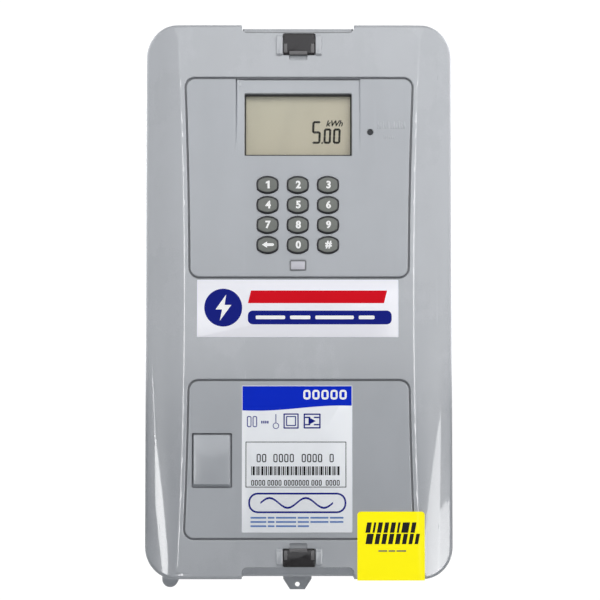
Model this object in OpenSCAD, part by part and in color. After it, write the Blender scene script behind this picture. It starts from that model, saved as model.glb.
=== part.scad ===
// Prepaid electricity meter: a plug-in keypad meter on a wall base.
// Millimetres. X to the right, Z up, the front faces -Y and the wall is the plane y = 0.
// The origin is the centre of the back face. All depths are negative: nearer the front is lower.

/* [Housing] */
// Width of the front cover
body_w = 137; // [135:0.5:140]
// Height of the front cover
body_h = 246; // [245:0.5:248]
// Distance of the flat front face from the wall
body_d = 62; // [62:0.5:66]
// Radius of the housing's four corners, seen from the front
corner_r = 13.5; // [11:0.5:16]
// Depth of the wall base, from the wall to its rim
base_d = 20; // [19.5:0.1:20.2]
// Wall thickness of the cover and of the base
wall = 2.6; // [2.4:0.1:2.8]

/* [Front face] */
// Half-width of the flat face at mid-height
ridge_mid = 50.8; // [50:0.1:52]
// Half-width of the flat face at the top and bottom edges
ridge_end = 54; // [53:0.1:55]
// How far each side wing falls back from the ridge to the outer edge
wing_drop = 10; // [8:0.5:12]
// Width of the groove round the two panels
groove = 0.8; // [0.5:0.1:1]
// Thickness of the two panels
panel_t = 2.4; // [2.2:0.1:2.6]

/* [Display] */
// Width of the display opening
lcd_w = 47.6; // [44:0.2:48]
// Height of the display opening
lcd_h = 27.8; // [24:0.2:28]
// Depth of the scoop above the display, where it is deepest
scoop_d = 1.9; // [1:0.1:2]

/* [Keypad] */
// Distance between key columns
key_pitch_x = 13.4; // [13:0.1:14]
// Distance between key rows
key_pitch_z = 8.9; // [8.7:0.1:9]
// Width of a key
key_w = 9.3; // [9:0.1:9.5]
// Height of a key
key_h = 7.4; // [7.2:0.1:7.6]
// How far the keys stand out of the panel
key_proud = 1.2; // [1.1:0.1:2]

/* [Terminals] */
// Distance between neighbouring terminals
terminal_pitch = 22; // [21:0.5:22]
// Radius of a conductor bore
conductor_r = 3.5; // [2.5:0.1:3.6]

/* [Wall fixing] */
// Distance between the wall screws, across
fixing_x = 100; // [99:1:102]
// Distance between the wall screws, up
fixing_z = 180; // [170:1:184]
// Radius of a wall screw hole
fixing_r = 2.5; // [2:0.1:2.8]

/* [Hidden] */
$fn = 48;

// Colours
cover_grey = "#b4bac2";
key_grey = "#787c78";
smoke = "#1c1b1e";
rubber_black = "#202020";
brass_yellow = "#c8a050";
copper = "#c87848";
zinc = "#c0c4c8";
board_green = "#1e6038";
ivory = "#e0dccb";
label_white = "#eef0f2";

// Housing, derived
face_y = -body_d;
half_w = body_w / 2;
half_h = body_h / 2;
base_inset = 1;
gasket_t = 0.6;
cover_back = -base_d - gasket_t - 0.2;
notch_w = 49.8;
notch_x = -0.5;
notch_top = 3.8;
notch_bottom = 5.3;
notch_r = 2.4;
notch_step = 4;
lip_drop = 1.1;
eps = 0.05;

// Wall base, derived
block_w = 88;
block_z = [-99, -60];
block_y = -17;
well_w = 12;
terminal_x = [for (i = [-1.5:1:1.5]) i * terminal_pitch];
conductor_y = -10;
clamp_z = [-96, -80];
jaw_z = [-80, -62];
clamp_screw_z = [-92, -84];
clamp_screw_r = 2.4;
cable_entry_x = 38;
cable_entry_z = -108.5;
grommet_r = 6.5;
lug_x = -0.5;
lug_top = 13;
lug_foot = 6.8;
lug_neck_z = -125.6;
lug_foot_z = -130.4;
lug_hole_z = -128.1;
lug_hole_r = 1.1;
lug_y = [-18, -15];
bump_x = -58.8;
bump_z = -125.8;
bump_r = 3.6;

// Retaining screws under the two seal caps
cap_w = 14;
cap_low = 109.6;
tower_r = 4.6;
cap_proud = 1.4;
post_w = 2.9;
post_gap = 0.25;
pocket_y = face_y + 6;
retainer_r = 1.95;
head_t = 2.4;

// Panels, derived
upper_z = [10.6, 98.7];
lower_z = [-104.9, -35.6];
panel_inset = 2.6;
panel_r = 4;
ledge_w = 3;
ledge_t = 2;
panel_back = face_y + panel_t;

// Display, derived
lcd_x = -0.4;
lcd_z = 78.4;
scoop_x = [-28.2, 27.2];
scoop_foot = 66;
scoop_boss_top = 95.2;
fascia_boss_y = face_y + 4.8;
pane_t = 1;
pane_y = fascia_boss_y + pane_t;
board_front = face_y + 9.6;
board_t = 1.6;
board_back = board_front + board_t;
display_post_x = [-40, 40];
display_post_z = [17.4, 91];

// Keypad, derived
keypad_x = -0.6;
keypad_top = 51.4;
key_clear = 0.22;
key_back_y = face_y + 6.2;
key_flange = 1.2;
mat_y = face_y + 7.4;
key_top_r = 6.7;
key_side_r = 7.4;

// Indicators, derived
pulse_x = 31.6;
pulse_z = 75;
pulse_r = 1.4;
status_x = -0.5;
status_z = 15.7;
status_size = [7.2, 4.6];

// Port, derived
port_x = -38.6;
port_z = -70.3;
port_recess = [17.8, 24.2];
port_plate = [16, 22];
port_plug = [8, 12];
port_proud = 0.7;
port_floor = face_y + 1.3;

// Electronics behind the display
rear_y = -base_d - 1.2;
rear_t = 2.4;
rear_face = rear_y - rear_t;
main_back = rear_face - 4.4;
main_front = main_back - 1.6;
main_size = [104, 192];
post_x = 48;
post_z = 90;
housing_screw_x = 58;
housing_screw_z = 100;
blade_t = 1.5;
blade_w = 12;
blade_z = -70;
blade_tip = -7.5;

// ---------- Shared shapes ----------

// An outline in X and Z, drawn as a solid between two depths
module slab(front, back) {
  translate([0, back, 0]) rotate([90, 0, 0]) linear_extrude(back - front) children();
}

// A box between two corners
module block(low, high) {
  translate(low) cube(high - low);
}

// A round bar along Y between two depths
module bar_y(x, z, r, front, back) {
  translate([x, back, z]) rotate([90, 0, 0]) cylinder(h = back - front, r = r);
}

// A rectangle with round corners, centred
module round_rect(w, h, r) {
  square([w - 2 * r, h], center = true);
  square([w, h - 2 * r], center = true);
  for (sx = [-1, 1], sz = [-1, 1]) translate([sx * (w / 2 - r), sz * (h / 2 - r)]) circle(r);
}

// Points of a quarter arc from angle a0, in equal steps
function arc(cx, cz, r, a0) = [for (i = [0:5]) [cx + r * cos(a0 + 18 * i), cz + r * sin(a0 + 18 * i)]];

// Half-width of the flat face at height z: a shallow waist
function ridge(z) = ridge_mid + (ridge_end - ridge_mid) * pow(z / half_h, 2);

// Outline of a panel whose long sides follow the ridge
module panel_outline(span, grow) {
  z0 = span[0] - grow;
  z1 = span[1] + grow;
  r = panel_r + max(grow, -panel_r / 2);
  rise = [for (i = [1:5]) z0 + r + (z1 - z0 - 2 * r) * i / 6];
  right = [for (z = rise) [ridge(z) - panel_inset + grow, z]];
  x0 = ridge(z0) - panel_inset + grow;
  x1 = ridge(z1) - panel_inset + grow;
  half = concat(arc(x0 - r, z0 + r, r, -90), right, arc(x1 - r, z1 - r, r, 0));
  last = len(half) - 1;
  polygon(concat(half, [for (i = [last:-1:0]) [-half[i][0], half[i][1]]]));
}

// Outline of the housing, moved in by inset
module housing_outline(inset) {
  round_rect(body_w - 2 * inset, body_h - 2 * inset, corner_r - inset);
}

// Outlines of the top and bottom notches, cut to a depth from each edge
module notches(top, bottom, grow) {
  for (edge = [[1, top], [-1, bottom]]) translate([notch_x, edge[0] * half_h])
    round_rect(notch_w + 2 * grow, 2 * edge[1], min(notch_r + grow, 0.9 * edge[1]));
}

// How far the wing lies behind the ridge, at a share t of its width: it curves away slowly
function wing_fall(t) = wing_drop * (0.55 * t + 0.45 * t * t);

// One level of the front form: a flat face between the ridges and a curved wing on each side
function form_level(z, sink) = let (
    wing = [for (t = [0, 0.25, 0.5, 0.75, 1, 1.3])
      [ridge(z) - sink / 3 + t * (half_w - ridge(z)), face_y + sink + wing_fall(t)]],
    count = len(wing)
  ) concat(
    [for (p = [[-wing[count - 1][0], 5]]) [p[0], p[1], z]],
    [for (i = [count - 1:-1:0]) [-wing[i][0], wing[i][1], z]],
    [for (p = wing) [p[0], p[1], z]],
    [[wing[count - 1][0], 5, z]]
  );

// The solid behind the front surface, moved back by sink
module front_form(sink) {
  levels = [for (i = [-6:6]) form_level(i * (half_h + 3) / 6, sink)];
  n = len(levels[0]);
  last = len(levels) - 1;
  sides = [for (k = [0:last - 1], j = [0:n - 1]) let (a = k * n + j, b = k * n + (j + 1) % n) each
    [[a, a + n, b + n], [a, b + n, b]]];
  polyhedron(
    points = [for (level = levels) each level],
    faces = concat(sides, [[for (j = [0:n - 1]) j], [for (j = [n - 1:-1:0]) last * n + j]])
  );
}

// ---------- Wall base ----------

module base_plate() color(cover_grey) difference() {
  union() {
    slab(-wall, 0) housing_outline(base_inset);
    slab(-base_d, -wall) difference() {
      housing_outline(base_inset);
      housing_outline(base_inset + wall);
    }
    for (s = [-1, 1]) bar_y(0, latch_z(s), 4.4, -base_d + 1, -wall + eps);
    for (sx = [-1, 1], sz = [-1, 1])
      bar_y(sx * fixing_x / 2, sz * fixing_z / 2, 5, -wall - 1.4, -wall + eps);
    seal_lug();
    bar_y(bump_x, bump_z, bump_r, -18, -6);
    block([bump_x - bump_r, -18, bump_z], [bump_x + bump_r, -6, -half_h + 2]);
  }
  for (sx = [-1, 1], sz = [-1, 1]) bar_y(sx * fixing_x / 2, sz * fixing_z / 2, fixing_r, -10, 1);
  for (s = [-1, 1]) bar_y(s * cable_entry_x, cable_entry_z, grommet_r + 2, -10, 1);
  for (s = [-1, 1]) bar_y(0, latch_z(s), 3.1, -base_d - 1, -8);
  bar_y(lug_x, lug_hole_z, lug_hole_r, -20, 1);
}

// Lug below the base that takes the seal wire
module seal_lug() {
  slab(lug_y[0], lug_y[1]) polygon([
    [lug_x - lug_top / 2, -half_h + 2], [lug_x + lug_top / 2, -half_h + 2], [lug_x + lug_top / 2, lug_neck_z],
    [lug_x + lug_foot / 2, lug_foot_z], [lug_x - lug_foot / 2, lug_foot_z], [lug_x - lug_top / 2, lug_neck_z]
  ]);
}

module screw_inserts() color(brass_yellow) for (s = [-1, 1]) difference() {
  bar_y(0, latch_z(s), 3.1, -base_d + 1, -8);
  bar_y(0, latch_z(s), retainer_r + 0.08, -base_d, -7);
}

module cable_grommets() color(rubber_black) for (s = [-1, 1]) difference() {
  union() {
    bar_y(s * cable_entry_x, cable_entry_z, grommet_r + 2, -wall - 1, -0.2);
    bar_y(s * cable_entry_x, cable_entry_z, grommet_r + 2.9, -wall - 2.4, -wall);
  }
  bar_y(s * cable_entry_x, cable_entry_z, grommet_r, -10, 1);
}

module rim_gasket() color(rubber_black) slab(-base_d - gasket_t, -base_d) difference() {
  housing_outline(base_inset + 0.3);
  housing_outline(base_inset + 2);
}

// Insulating block with an open well for each terminal
module terminal_block() color(ivory) difference() {
  block([-block_w / 2, block_y, block_z[0]], [block_w / 2, -wall, block_z[1]]);
  for (x = terminal_x) {
    block([x - well_w / 2, block_y - 1, clamp_z[0]], [x + well_w / 2, -4, jaw_z[1]]);
    translate([x, conductor_y, block_z[0] - 1]) cylinder(h = 6, r = conductor_r + 0.5);
  }
}

module terminal_clamps() color(brass_yellow) for (x = terminal_x) difference() {
  block([x - well_w / 2, -16, clamp_z[0]], [x + well_w / 2, -4, clamp_z[1]]);
  translate([x, conductor_y, clamp_z[0] - 1]) cylinder(h = clamp_z[1] - clamp_z[0] + 2, r = conductor_r);
  for (z = clamp_screw_z) bar_y(x, z, clamp_screw_r + 0.02, -17, conductor_y);
}

module terminal_screws() color(zinc) for (x = terminal_x, z = clamp_screw_z) difference() {
  union() {
    bar_y(x, z, clamp_screw_r, -16.5, -14);
    bar_y(x, z, 3, -18.2, -16.1);
  }
  block([x - 4, -19, z - 0.4], [x + 4, -17.2, z + 0.4]);
}

// A spring jaw in each well, open to the front, that a blade pushes into
module contact_jaws() color(copper) for (x = terminal_x) {
  gap = blade_t / 2 + 0.15;
  block([x - gap - 1, -5.2, jaw_z[0]], [x + gap + 1, -4, jaw_z[1]]);
  for (s = [-1, 1]) translate([x + s * (gap + 0.5), -10, (jaw_z[0] + jaw_z[1]) / 2 + 1])
    cube([1, 10 + eps, 14], center = true);
}

// ---------- Meter housing ----------

module front_cover() color(cover_grey) difference() {
  union() {
    difference() {
      intersection() {
        slab(face_y - 5, cover_back) housing_outline(0);
        front_form(0);
      }
      cover_cavity();
    }
    for (span = [upper_z, lower_z]) slab(panel_back - 0.1, panel_back + ledge_t) difference() {
      panel_outline(span, 1.6);
      panel_outline(span, -ledge_w);
    }
    for (s = [-1, 1]) bar_y(0, latch_z(s), tower_r, pocket_y, rear_face);
    for (s = [-1, 1]) latch_walls(s);
    intersection() {
      for (sx = [-1, 1], sz = [-1, 1])
        bar_y(sx * housing_screw_x, sz * housing_screw_z, 4, face_y, rear_face);
      front_form(1);
    }
  }
  slab(face_y - 1, face_y + notch_step) notches(notch_top, notch_bottom, 0);
  slab(face_y - 1, cover_back + 1) notches(lip_drop, lip_drop, 0);
  for (span = [upper_z, lower_z]) {
    slab(face_y - 1, panel_back) panel_outline(span, groove);
    slab(face_y, panel_back + ledge_t + 1) panel_outline(span, -ledge_w);
  }
  for (s = [-1, 1]) {
    block_at_latch(s, cap_w / 2 + post_gap, cap_low - 0.2, notch_floor(s) + eps, face_y - 3, pocket_y);
    bar_y(0, latch_z(s), retainer_r + 0.3, face_y, rear_face + 1);
    block_at_latch(s, 4, cap_low - 2.6, cap_low, face_y - 1, face_y + 1.2);
  }
  for (sx = [-1, 1], sz = [-1, 1])
    bar_y(sx * housing_screw_x, sz * housing_screw_z, 1.4, -36, rear_face + 1);
}

// Hollow inside the cover, which leaves a wall behind the notches
module cover_cavity() difference() {
  intersection() {
    slab(face_y - 5, cover_back + 1) housing_outline(wall);
    front_form(wall);
  }
  slab(face_y, face_y + notch_step + wall) notches(notch_top + wall, notch_bottom + wall, wall);
}

// Distance from mid-height to the floor of the top (1) or bottom (-1) notch
function notch_floor(side) = half_h - (side > 0 ? notch_top : notch_bottom);

// Height of the retaining screw at the top (1) or at the bottom (-1)
function latch_z(side) = side * (notch_floor(side) - tower_r - 0.2);

// A box at the top latch, or mirrored at the bottom one
module block_at_latch(side, half_x, low, high, front, back) {
  mirror([0, 0, side > 0 ? 0 : 1]) block([-half_x, front, low], [half_x, back, high]);
}

// The walls round a seal cap's pocket, and the two posts beside it
module latch_walls(side) {
  block_at_latch(side, cap_w / 2 + 2, cap_low - 2, notch_floor(side), face_y + 1, pocket_y + 2);
  for (sx = [-1, 1]) translate([sx * (cap_w / 2 + post_gap + post_w / 2), 0, 0])
    block_at_latch(side, post_w / 2, cap_low - 0.2, notch_floor(side) - 1.2, face_y - cap_proud, face_y + 2);
}

// Back shell of the sealed meter, with a lip inside the cover and posts for the board
module rear_housing() color(cover_grey) difference() {
  union() {
    slab(rear_face, rear_y) housing_outline(wall + 0.15);
    slab(rear_face - 5, rear_face + eps) difference() {
      housing_outline(wall + 0.15);
      housing_outline(wall + 1.8);
    }
    for (sx = [-1, 1], sz = [-1, 1]) bar_y(sx * post_x, sz * post_z, 3, main_back, rear_face + eps);
  }
  for (x = terminal_x) block([x - blade_t / 2 - 0.1, rear_face - 1, blade_z - blade_w / 2 - 0.1],
    [x + blade_t / 2 + 0.1, rear_y + 1, blade_z + blade_w / 2 + 0.1]);
  for (s = [-1, 1]) bar_y(0, latch_z(s), retainer_r + 0.3, rear_face - 1, rear_y + 1);
  for (s = [-1, 1]) bar_y(0, latch_z(s), 5.2, rear_face - 6, rear_face);
  for (sx = [-1, 1], sz = [-1, 1]) {
    bar_y(sx * housing_screw_x, sz * housing_screw_z, 1.6, rear_face - 1, rear_y + 1);
    bar_y(sx * housing_screw_x, sz * housing_screw_z, 4.3, rear_face - 6, rear_face);
    bar_y(sx * post_x, sz * post_z, 1.05, main_back - 1, rear_face + 0.6);
  }
}

// A pan-head screw along Y: its head lies in front of head_y, or behind it when turned
module pan_screw(x, z, head_y, shank, r, head_r, head_t, turned) {
  translate([x, head_y, z]) mirror([0, turned ? 1 : 0, 0]) difference() {
    union() {
      bar_y(0, 0, head_r, -head_t, 0);
      bar_y(0, 0, r, -eps, shank);
    }
    for (a = [0, 90]) rotate([0, a, 0]) translate([0, -head_t, 0])
      cube([head_r * 1.1, head_t, 0.5], center = true);
  }
}

module housing_screws() color(zinc) for (sx = [-1, 1], sz = [-1, 1])
  pan_screw(sx * housing_screw_x, sz * housing_screw_z, rear_y, 12, 1.35, 3, 1.2, true);

module board_screws() color(zinc) for (sx = [-1, 1], sz = [-1, 1])
  pan_screw(sx * post_x, sz * post_z, main_front, 5, 1, 2.4, 1.4, false);

module display_screws() color(zinc) for (x = display_post_x, z = display_post_z)
  pan_screw(x, z, board_back, 6, 0.9, 2, 1.2, true);

module retaining_screws() color(zinc) for (s = [-1, 1])
  pan_screw(0, latch_z(s), pocket_y, -pocket_y - 10, retainer_r, 3.4, head_t, false);

// ---------- Front panels ----------

module display_fascia() color(cover_grey) difference() {
  union() {
    slab(face_y, panel_back) panel_outline(upper_z, 0);
    block([scoop_x[0] - 1.8, panel_back - eps, scoop_foot - 4],
      [scoop_x[1] + 1.8, fascia_boss_y, scoop_boss_top]);
    for (x = display_post_x, z = display_post_z) bar_y(x, z, 2.4, panel_back - eps, board_front);
  }
  display_scoop();
  display_opening();
  for (x = display_post_x, z = display_post_z) bar_y(x, z, 0.95, panel_back + 0.6, board_front + 1);
  for (i = [0:11]) translate([key_x(i), 0, key_z(i)]) slab(face_y - 1, panel_back + 1) key_outline(key_clear);
  bar_y(pulse_x, pulse_z, pulse_r, face_y - 1, panel_back + 1);
  block([status_x - status_size[0] / 2, face_y - 1, status_z - status_size[1] / 2],
    [status_x + status_size[0] / 2, panel_back + 1, status_z + status_size[1] / 2]);
}

// Sloping recess, deepest above the display and running out to nothing below it
module display_scoop() {
  top = upper_z[1] - 0.8;
  translate([scoop_x[0], 0, 0]) rotate([90, 0, 90]) linear_extrude(scoop_x[1] - scoop_x[0])
    polygon([[face_y - 1, scoop_foot], [face_y, scoop_foot], [face_y + scoop_d, top], [face_y - 1, top]]);
}

// Opening over the display glass, with sloping sides
module display_opening() {
  slope = 0.8;
  block([lcd_x - lcd_w / 2, face_y - 1, lcd_z - lcd_h / 2],
    [lcd_x + lcd_w / 2, fascia_boss_y + 1, lcd_z + lcd_h / 2]);
  block([lcd_x - lcd_w / 2 - slope, face_y - 1, lcd_z - lcd_h / 2 - slope],
    [lcd_x + lcd_w / 2 + slope, face_y + 0.4, lcd_z + lcd_h / 2]);
}

module lower_panel() color(cover_grey) difference() {
  slab(face_y, panel_back) panel_outline(lower_z, 0);
  at_port() slab(face_y - 1, port_floor) round_rect(port_recess[0], port_recess[1], 1.5);
  at_port() slab(face_y, panel_back + 1) square(port_plug + [1.2, 1.2], center = true);
}

module at_port() {
  translate([port_x, 0, port_z]) children();
}

// Socket behind the port cover
module port_socket() color(smoke) at_port() difference() {
  slab(panel_back, panel_back + 8) square(port_plug + [5, 5], center = true);
  slab(panel_back - 1, panel_back + 6) square(port_plug + [1.2, 1.2], center = true);
}

// Pull-off plate with a plug stub that holds it in the socket
module port_cover() color(cover_grey) at_port() {
  slab(face_y - port_proud, port_floor - 0.1) round_rect(port_plate[0], port_plate[1], 1.2);
  slab(port_floor - 0.2, panel_back + 4) square(port_plug, center = true);
}

// Smoked cap over a retaining screw
module seal_cap(side) color(smoke, 0.85) difference() {
  top = notch_floor(side);
  block_at_latch(side, cap_w / 2, cap_low, top - 0.1, face_y - cap_proud + 0.2, pocket_y - head_t - 0.5);
  block_at_latch(side, cap_w / 2 - 1.1, cap_low + 1.1, top - 1.2, face_y - cap_proud + 1.4, pocket_y);
}
module seal_cap_top() seal_cap(1);
module seal_cap_bottom() seal_cap(-1);

module brand_label() color(label_white)
  slab(face_y - 0.25, face_y) translate([-0.6, -3.5]) square([89.2, 25.4], center = true);

module rating_label() color(label_white)
  slab(face_y - 0.25, face_y) translate([-0.9, -70]) square([48.8, 64.8], center = true);

module corner_label() color("#f8e800")
  slab(face_y - 0.3, face_y) translate([40.6, -107.9]) round_rect(29.8, 29.4, 1.6);

// ---------- Display ----------

module lcd_plate(grow_w, grow_h, front, back) {
  translate([lcd_x, 0, lcd_z]) slab(front, back) square([lcd_w + grow_w, lcd_h + grow_h], center = true);
}

module lcd_window() color("#dfe4e4", 0.4) lcd_plate(3.4, 3.4, fascia_boss_y, pane_y);

module lcd_bezel() color("#303234") difference() {
  lcd_plate(7.2, 7.4, pane_y, board_front);
  lcd_plate(2.6, 3.2, pane_y - 1, board_front + 1);
}

module lcd_glass() color("#bcb6a0") lcd_plate(2.2, 2.8, pane_y + 0.1, pane_y + 1.9);

module lcd_backlight() color("#f4f4ec") lcd_plate(2.2, -2, pane_y + 1.9, board_front);

module zebra_strips() color(smoke) for (s = [-1, 1]) translate([lcd_x, 0, lcd_z + s * (lcd_h / 2 + 0.4)])
  slab(pane_y + 1.9, board_front) square([lcd_w, 1.6], center = true);

module display_board() color(board_green) difference() {
  slab(board_front, board_back) translate([0, 54.5]) round_rect(87, 80.6, 2);
  for (x = display_post_x, z = display_post_z) bar_y(x, z, 1, board_front - 1, board_back + 1);
}

// ---------- Keypad ----------

function key_x(i) = keypad_x + (i % 3 - 1) * key_pitch_x;
function key_z(i) = keypad_top - floor(i / 3) * key_pitch_z;

// A key's outline: four shallow arcs that meet at the corners
module key_outline(grow) intersection_for(turn = [0, 180]) rotate(turn) intersection() {
  translate([0, key_h / 2 - key_top_r]) circle(key_top_r + grow);
  translate([key_w / 2 - key_side_r, 0]) circle(key_side_r + grow);
}

// A key, with side flanges that keep it behind the panel
module keypad_key(i) color(key_grey) translate([key_x(i), 0, key_z(i)]) {
  slab(face_y - key_proud, key_back_y) key_outline(0);
  block([-key_w / 2 - key_flange, panel_back + 0.3, -2], [key_w / 2 + key_flange, panel_back + 1.1, 2]);
}
module key_1() keypad_key(0);
module key_2() keypad_key(1);
module key_3() keypad_key(2);
module key_4() keypad_key(3);
module key_5() keypad_key(4);
module key_6() keypad_key(5);
module key_7() keypad_key(6);
module key_8() keypad_key(7);
module key_9() keypad_key(8);
module key_back() keypad_key(9);
module key_0() keypad_key(10);
module key_hash() keypad_key(11);

module keypad_mat() color(rubber_black)
  slab(mat_y, board_front) translate([keypad_x, keypad_top - 1.5 * key_pitch_z]) round_rect(41, 38, 2);

module status_window() color("#d4d2e0") {
  translate([status_x, 0, status_z]) {
    slab(face_y - 0.3, panel_back) square(status_size - [0.3, 0.3], center = true);
    slab(panel_back - eps, board_front - 2.6) square([3.6, 2.6], center = true);
  }
}

module status_led() color("#f2f2e0") translate([status_x, 0, status_z])
  slab(board_front - 2.2, board_front) square([3.2, 2.4], center = true);

module pulse_led() color("#a02020") {
  bar_y(pulse_x, pulse_z, pulse_r - 0.1, face_y + 0.6, board_front);
  bar_y(pulse_x, pulse_z, pulse_r + 0.5, board_front - 1.2, board_front);
}

// ---------- Main board ----------

module main_board() color(board_green) difference() {
  slab(main_front, main_back) round_rect(main_size[0], main_size[1], 3);
  for (sx = [-1, 1], sz = [-1, 1]) bar_y(sx * post_x, sz * post_z, 1.1, main_front - 1, main_back + 1);
  for (x = terminal_x) block([x - blade_t / 2 - 0.1, main_front - 1, blade_z - blade_w / 2 - 0.1],
    [x + blade_t / 2 + 0.1, main_back + 1, blade_z + blade_w / 2 + 0.1]);
}

// Blades that pass through the back shell into the jaws of the base
module contact_blades() color(brass_yellow) for (x = terminal_x)
  block([x - blade_t / 2, main_front, blade_z - blade_w / 2],
    [x + blade_t / 2, blade_tip, blade_z + blade_w / 2]);

// Straps from the first two blades up to the relay
module relay_busbars() color(copper) for (i = [0, 1])
  block([terminal_x[i] - 2.5, main_front - 1.2, -76], [terminal_x[i] + 2.5, main_front, -58]);

module latching_relay() color("#26282a") {
  block([-42, main_front - 17, -58], [-2, main_front, -26]);
  block([-40, main_front - 17.8, -56], [-4, main_front - 17 + eps, -28]);
}

// Resistance strip that joins the other two blades
module current_shunt() color("#b8a084") difference() {
  block([8, main_front - 1.2, -76], [36, main_front, -58]);
  block([14, main_front - 2, -71], [30, main_front + 1, -63]);
}

module mains_capacitor() color("#e0a820") block([12, main_front - 14, -53], [38, main_front, -44]);

module transformer() color("#c8b060") {
  block([10, main_front - 19, -38], [42, main_front - 3, -14]);
  block([16, main_front - 22, -34], [36, main_front, -18]);
}

module electrolytic_capacitors() color("#26346a") for (x = [18, 31], z = [0, 14])
  bar_y(x, z, 5, main_front - 16, main_front);

module varistor() color("#2464b0") {
  translate([-16, main_front - 8.5, -14]) rotate([0, 90, 0]) cylinder(h = 4, r = 7);
  for (s = [-1, 1]) bar_y(-14, -14 + s * 3.5, 0.4, main_front - 3, main_front);
}

module battery() color("#d8d8d8") {
  translate([-44, main_front - 7.2, 6]) rotate([0, 90, 0]) cylinder(h = 25, r = 7.2);
  translate([-19, main_front - 7.2, 6]) rotate([0, 90, 0]) cylinder(h = 1.2, r = 2.4);
}

module buzzer() color(smoke) difference() {
  bar_y(-32, 62, 6, main_front - 7, main_front);
  bar_y(-32, 62, 1, main_front - 8, main_front - 5);
}

module board_chips() color("#202226") for (spot = [[-8, 24, 14], [22, 40, 10], [22, 62, 8], [-30, 36, 8]])
  translate([spot[0], 0, spot[1]]) slab(main_front - 1.6, main_front) square(spot[2], center = true);

module board_connector() color(ivory) difference() {
  block([-11, main_front - 8, 46], [11, main_front, 53]);
  block([-9.5, main_front - 9, 48], [9.5, main_front - 2, 51]);
}

module ribbon_cable() color("#b0b4b8") block([-9, board_back, 49], [9, main_front - 2, 50]);

base_plate();
terminal_block();
terminal_clamps();
terminal_screws();
contact_jaws();
screw_inserts();
cable_grommets();
rim_gasket();
front_cover();
rear_housing();
display_fascia();
lower_panel();
lcd_window();
lcd_bezel();
lcd_glass();
lcd_backlight();
zebra_strips();
keypad_mat();
display_board();
status_window();
status_led();
pulse_led();
ribbon_cable();
main_board();
latching_relay();
relay_busbars();
current_shunt();
contact_blades();
mains_capacitor();
electrolytic_capacitors();
varistor();
battery();
transformer();
buzzer();
board_chips();
board_connector();
housing_screws();
board_screws();
display_screws();
retaining_screws();
port_socket();
brand_label();
rating_label();
corner_label();
key_1();
key_2();
key_3();
key_4();
key_5();
key_6();
key_7();
key_8();
key_9();
key_back();
key_0();
key_hash();
seal_cap_top();
seal_cap_bottom();
port_cover();
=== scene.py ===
import math

import bmesh
import bpy
from mathutils import Matrix, Vector
from mathutils.geometry import delaunay_2d_cdt


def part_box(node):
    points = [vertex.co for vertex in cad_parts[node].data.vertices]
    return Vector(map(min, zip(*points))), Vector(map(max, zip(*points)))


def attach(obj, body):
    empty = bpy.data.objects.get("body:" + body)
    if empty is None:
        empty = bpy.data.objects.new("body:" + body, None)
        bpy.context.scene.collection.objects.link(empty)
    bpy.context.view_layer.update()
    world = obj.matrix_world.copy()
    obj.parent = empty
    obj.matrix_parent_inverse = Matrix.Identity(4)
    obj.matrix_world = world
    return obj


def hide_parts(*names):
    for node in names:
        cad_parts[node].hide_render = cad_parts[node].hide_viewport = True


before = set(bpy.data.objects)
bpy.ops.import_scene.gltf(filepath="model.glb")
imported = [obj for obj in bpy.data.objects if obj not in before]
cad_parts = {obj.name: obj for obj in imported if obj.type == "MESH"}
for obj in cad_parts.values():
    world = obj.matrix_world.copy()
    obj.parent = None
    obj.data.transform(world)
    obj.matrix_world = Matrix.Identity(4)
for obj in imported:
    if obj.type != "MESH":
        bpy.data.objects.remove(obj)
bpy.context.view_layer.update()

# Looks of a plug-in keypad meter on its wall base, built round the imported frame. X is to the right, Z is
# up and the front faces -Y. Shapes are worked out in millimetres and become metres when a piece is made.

MM = 0.001
SIDES = (1, -1)


def span(node):
    """Lowest and highest corner of a CAD node, in millimetres."""
    low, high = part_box(node)
    return low / MM, high / MM


def middle(node):
    """Centre of a CAD node in X and Z, in millimetres."""
    low, high = span(node)
    return (low.x + high.x) / 2, (low.z + high.z) / 2


# ---------- Driving sizes ----------

FACE = span("display_fascia")[0].y
HALF_W = span("front_cover")[1].x
HALF_H = span("front_cover")[1].z
COVER_BACK = span("front_cover")[1].y
REAR_FACE = span("rear_housing")[1].y - 2.4
CORNER_R = 13.5
WALL = 2.6
RIDGE_MID = 50.8
RIDGE_END = 54
RIDGE_SOFT = 0.7
WING_DROP = 10
EDGE_R = 1.5

NOTCH_X = (-25.4, 24.4)
NOTCH_FLOOR = {1: HALF_H - 3.8, -1: HALF_H - 5.3}
NOTCH_STEP = 4
NOTCH_DRAFT = 0.45
NOTCH_R = 2.4
LIP_DROP = 1.1

GROOVE = 0.8
GROOVE_DEPTH = 1.1
LEDGE_OUT = 1.6
LEDGE_IN = 3
PANEL_T = 2.4
PANEL_INSET = 2.6
PANEL_R = 4
PANEL_EDGE = 0.4

CAP_W = 14
CAP_LOW = 109.6
CAP_PROUD = 1.4
LATCH_ZONE = 90
POCKET_Y = FACE + 6
TOWER_R = 4.6
POST_X = 58
POST_Z = 100

KEY_W = 9.3
KEY_H = 7.4
KEY_TOP_R = 6.7
KEY_SIDE_R = 7.4
KEY_CORNER = 0.9
KEY_CLEAR = 0.22

INK = 0.03


def ridge(z):
    """Half-width of the flat face at height z: a shallow waist."""
    return RIDGE_MID + (RIDGE_END - RIDGE_MID) * (z / HALF_H) ** 2


def wing(x, z):
    """How far the surface lies behind the flat face: nothing between the ridges, then a curved fall."""
    past = abs(x) - ridge(z)
    if past <= -RIDGE_SOFT:
        return 0
    soft = (past + RIDGE_SOFT) ** 2 / (4 * RIDGE_SOFT) if past < RIDGE_SOFT else past
    share = soft / (HALF_W - ridge(z))
    return WING_DROP * (0.55 * share + 0.45 * share * share)


# ---------- Outlines and their signed distances (negative inside) ----------


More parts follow.
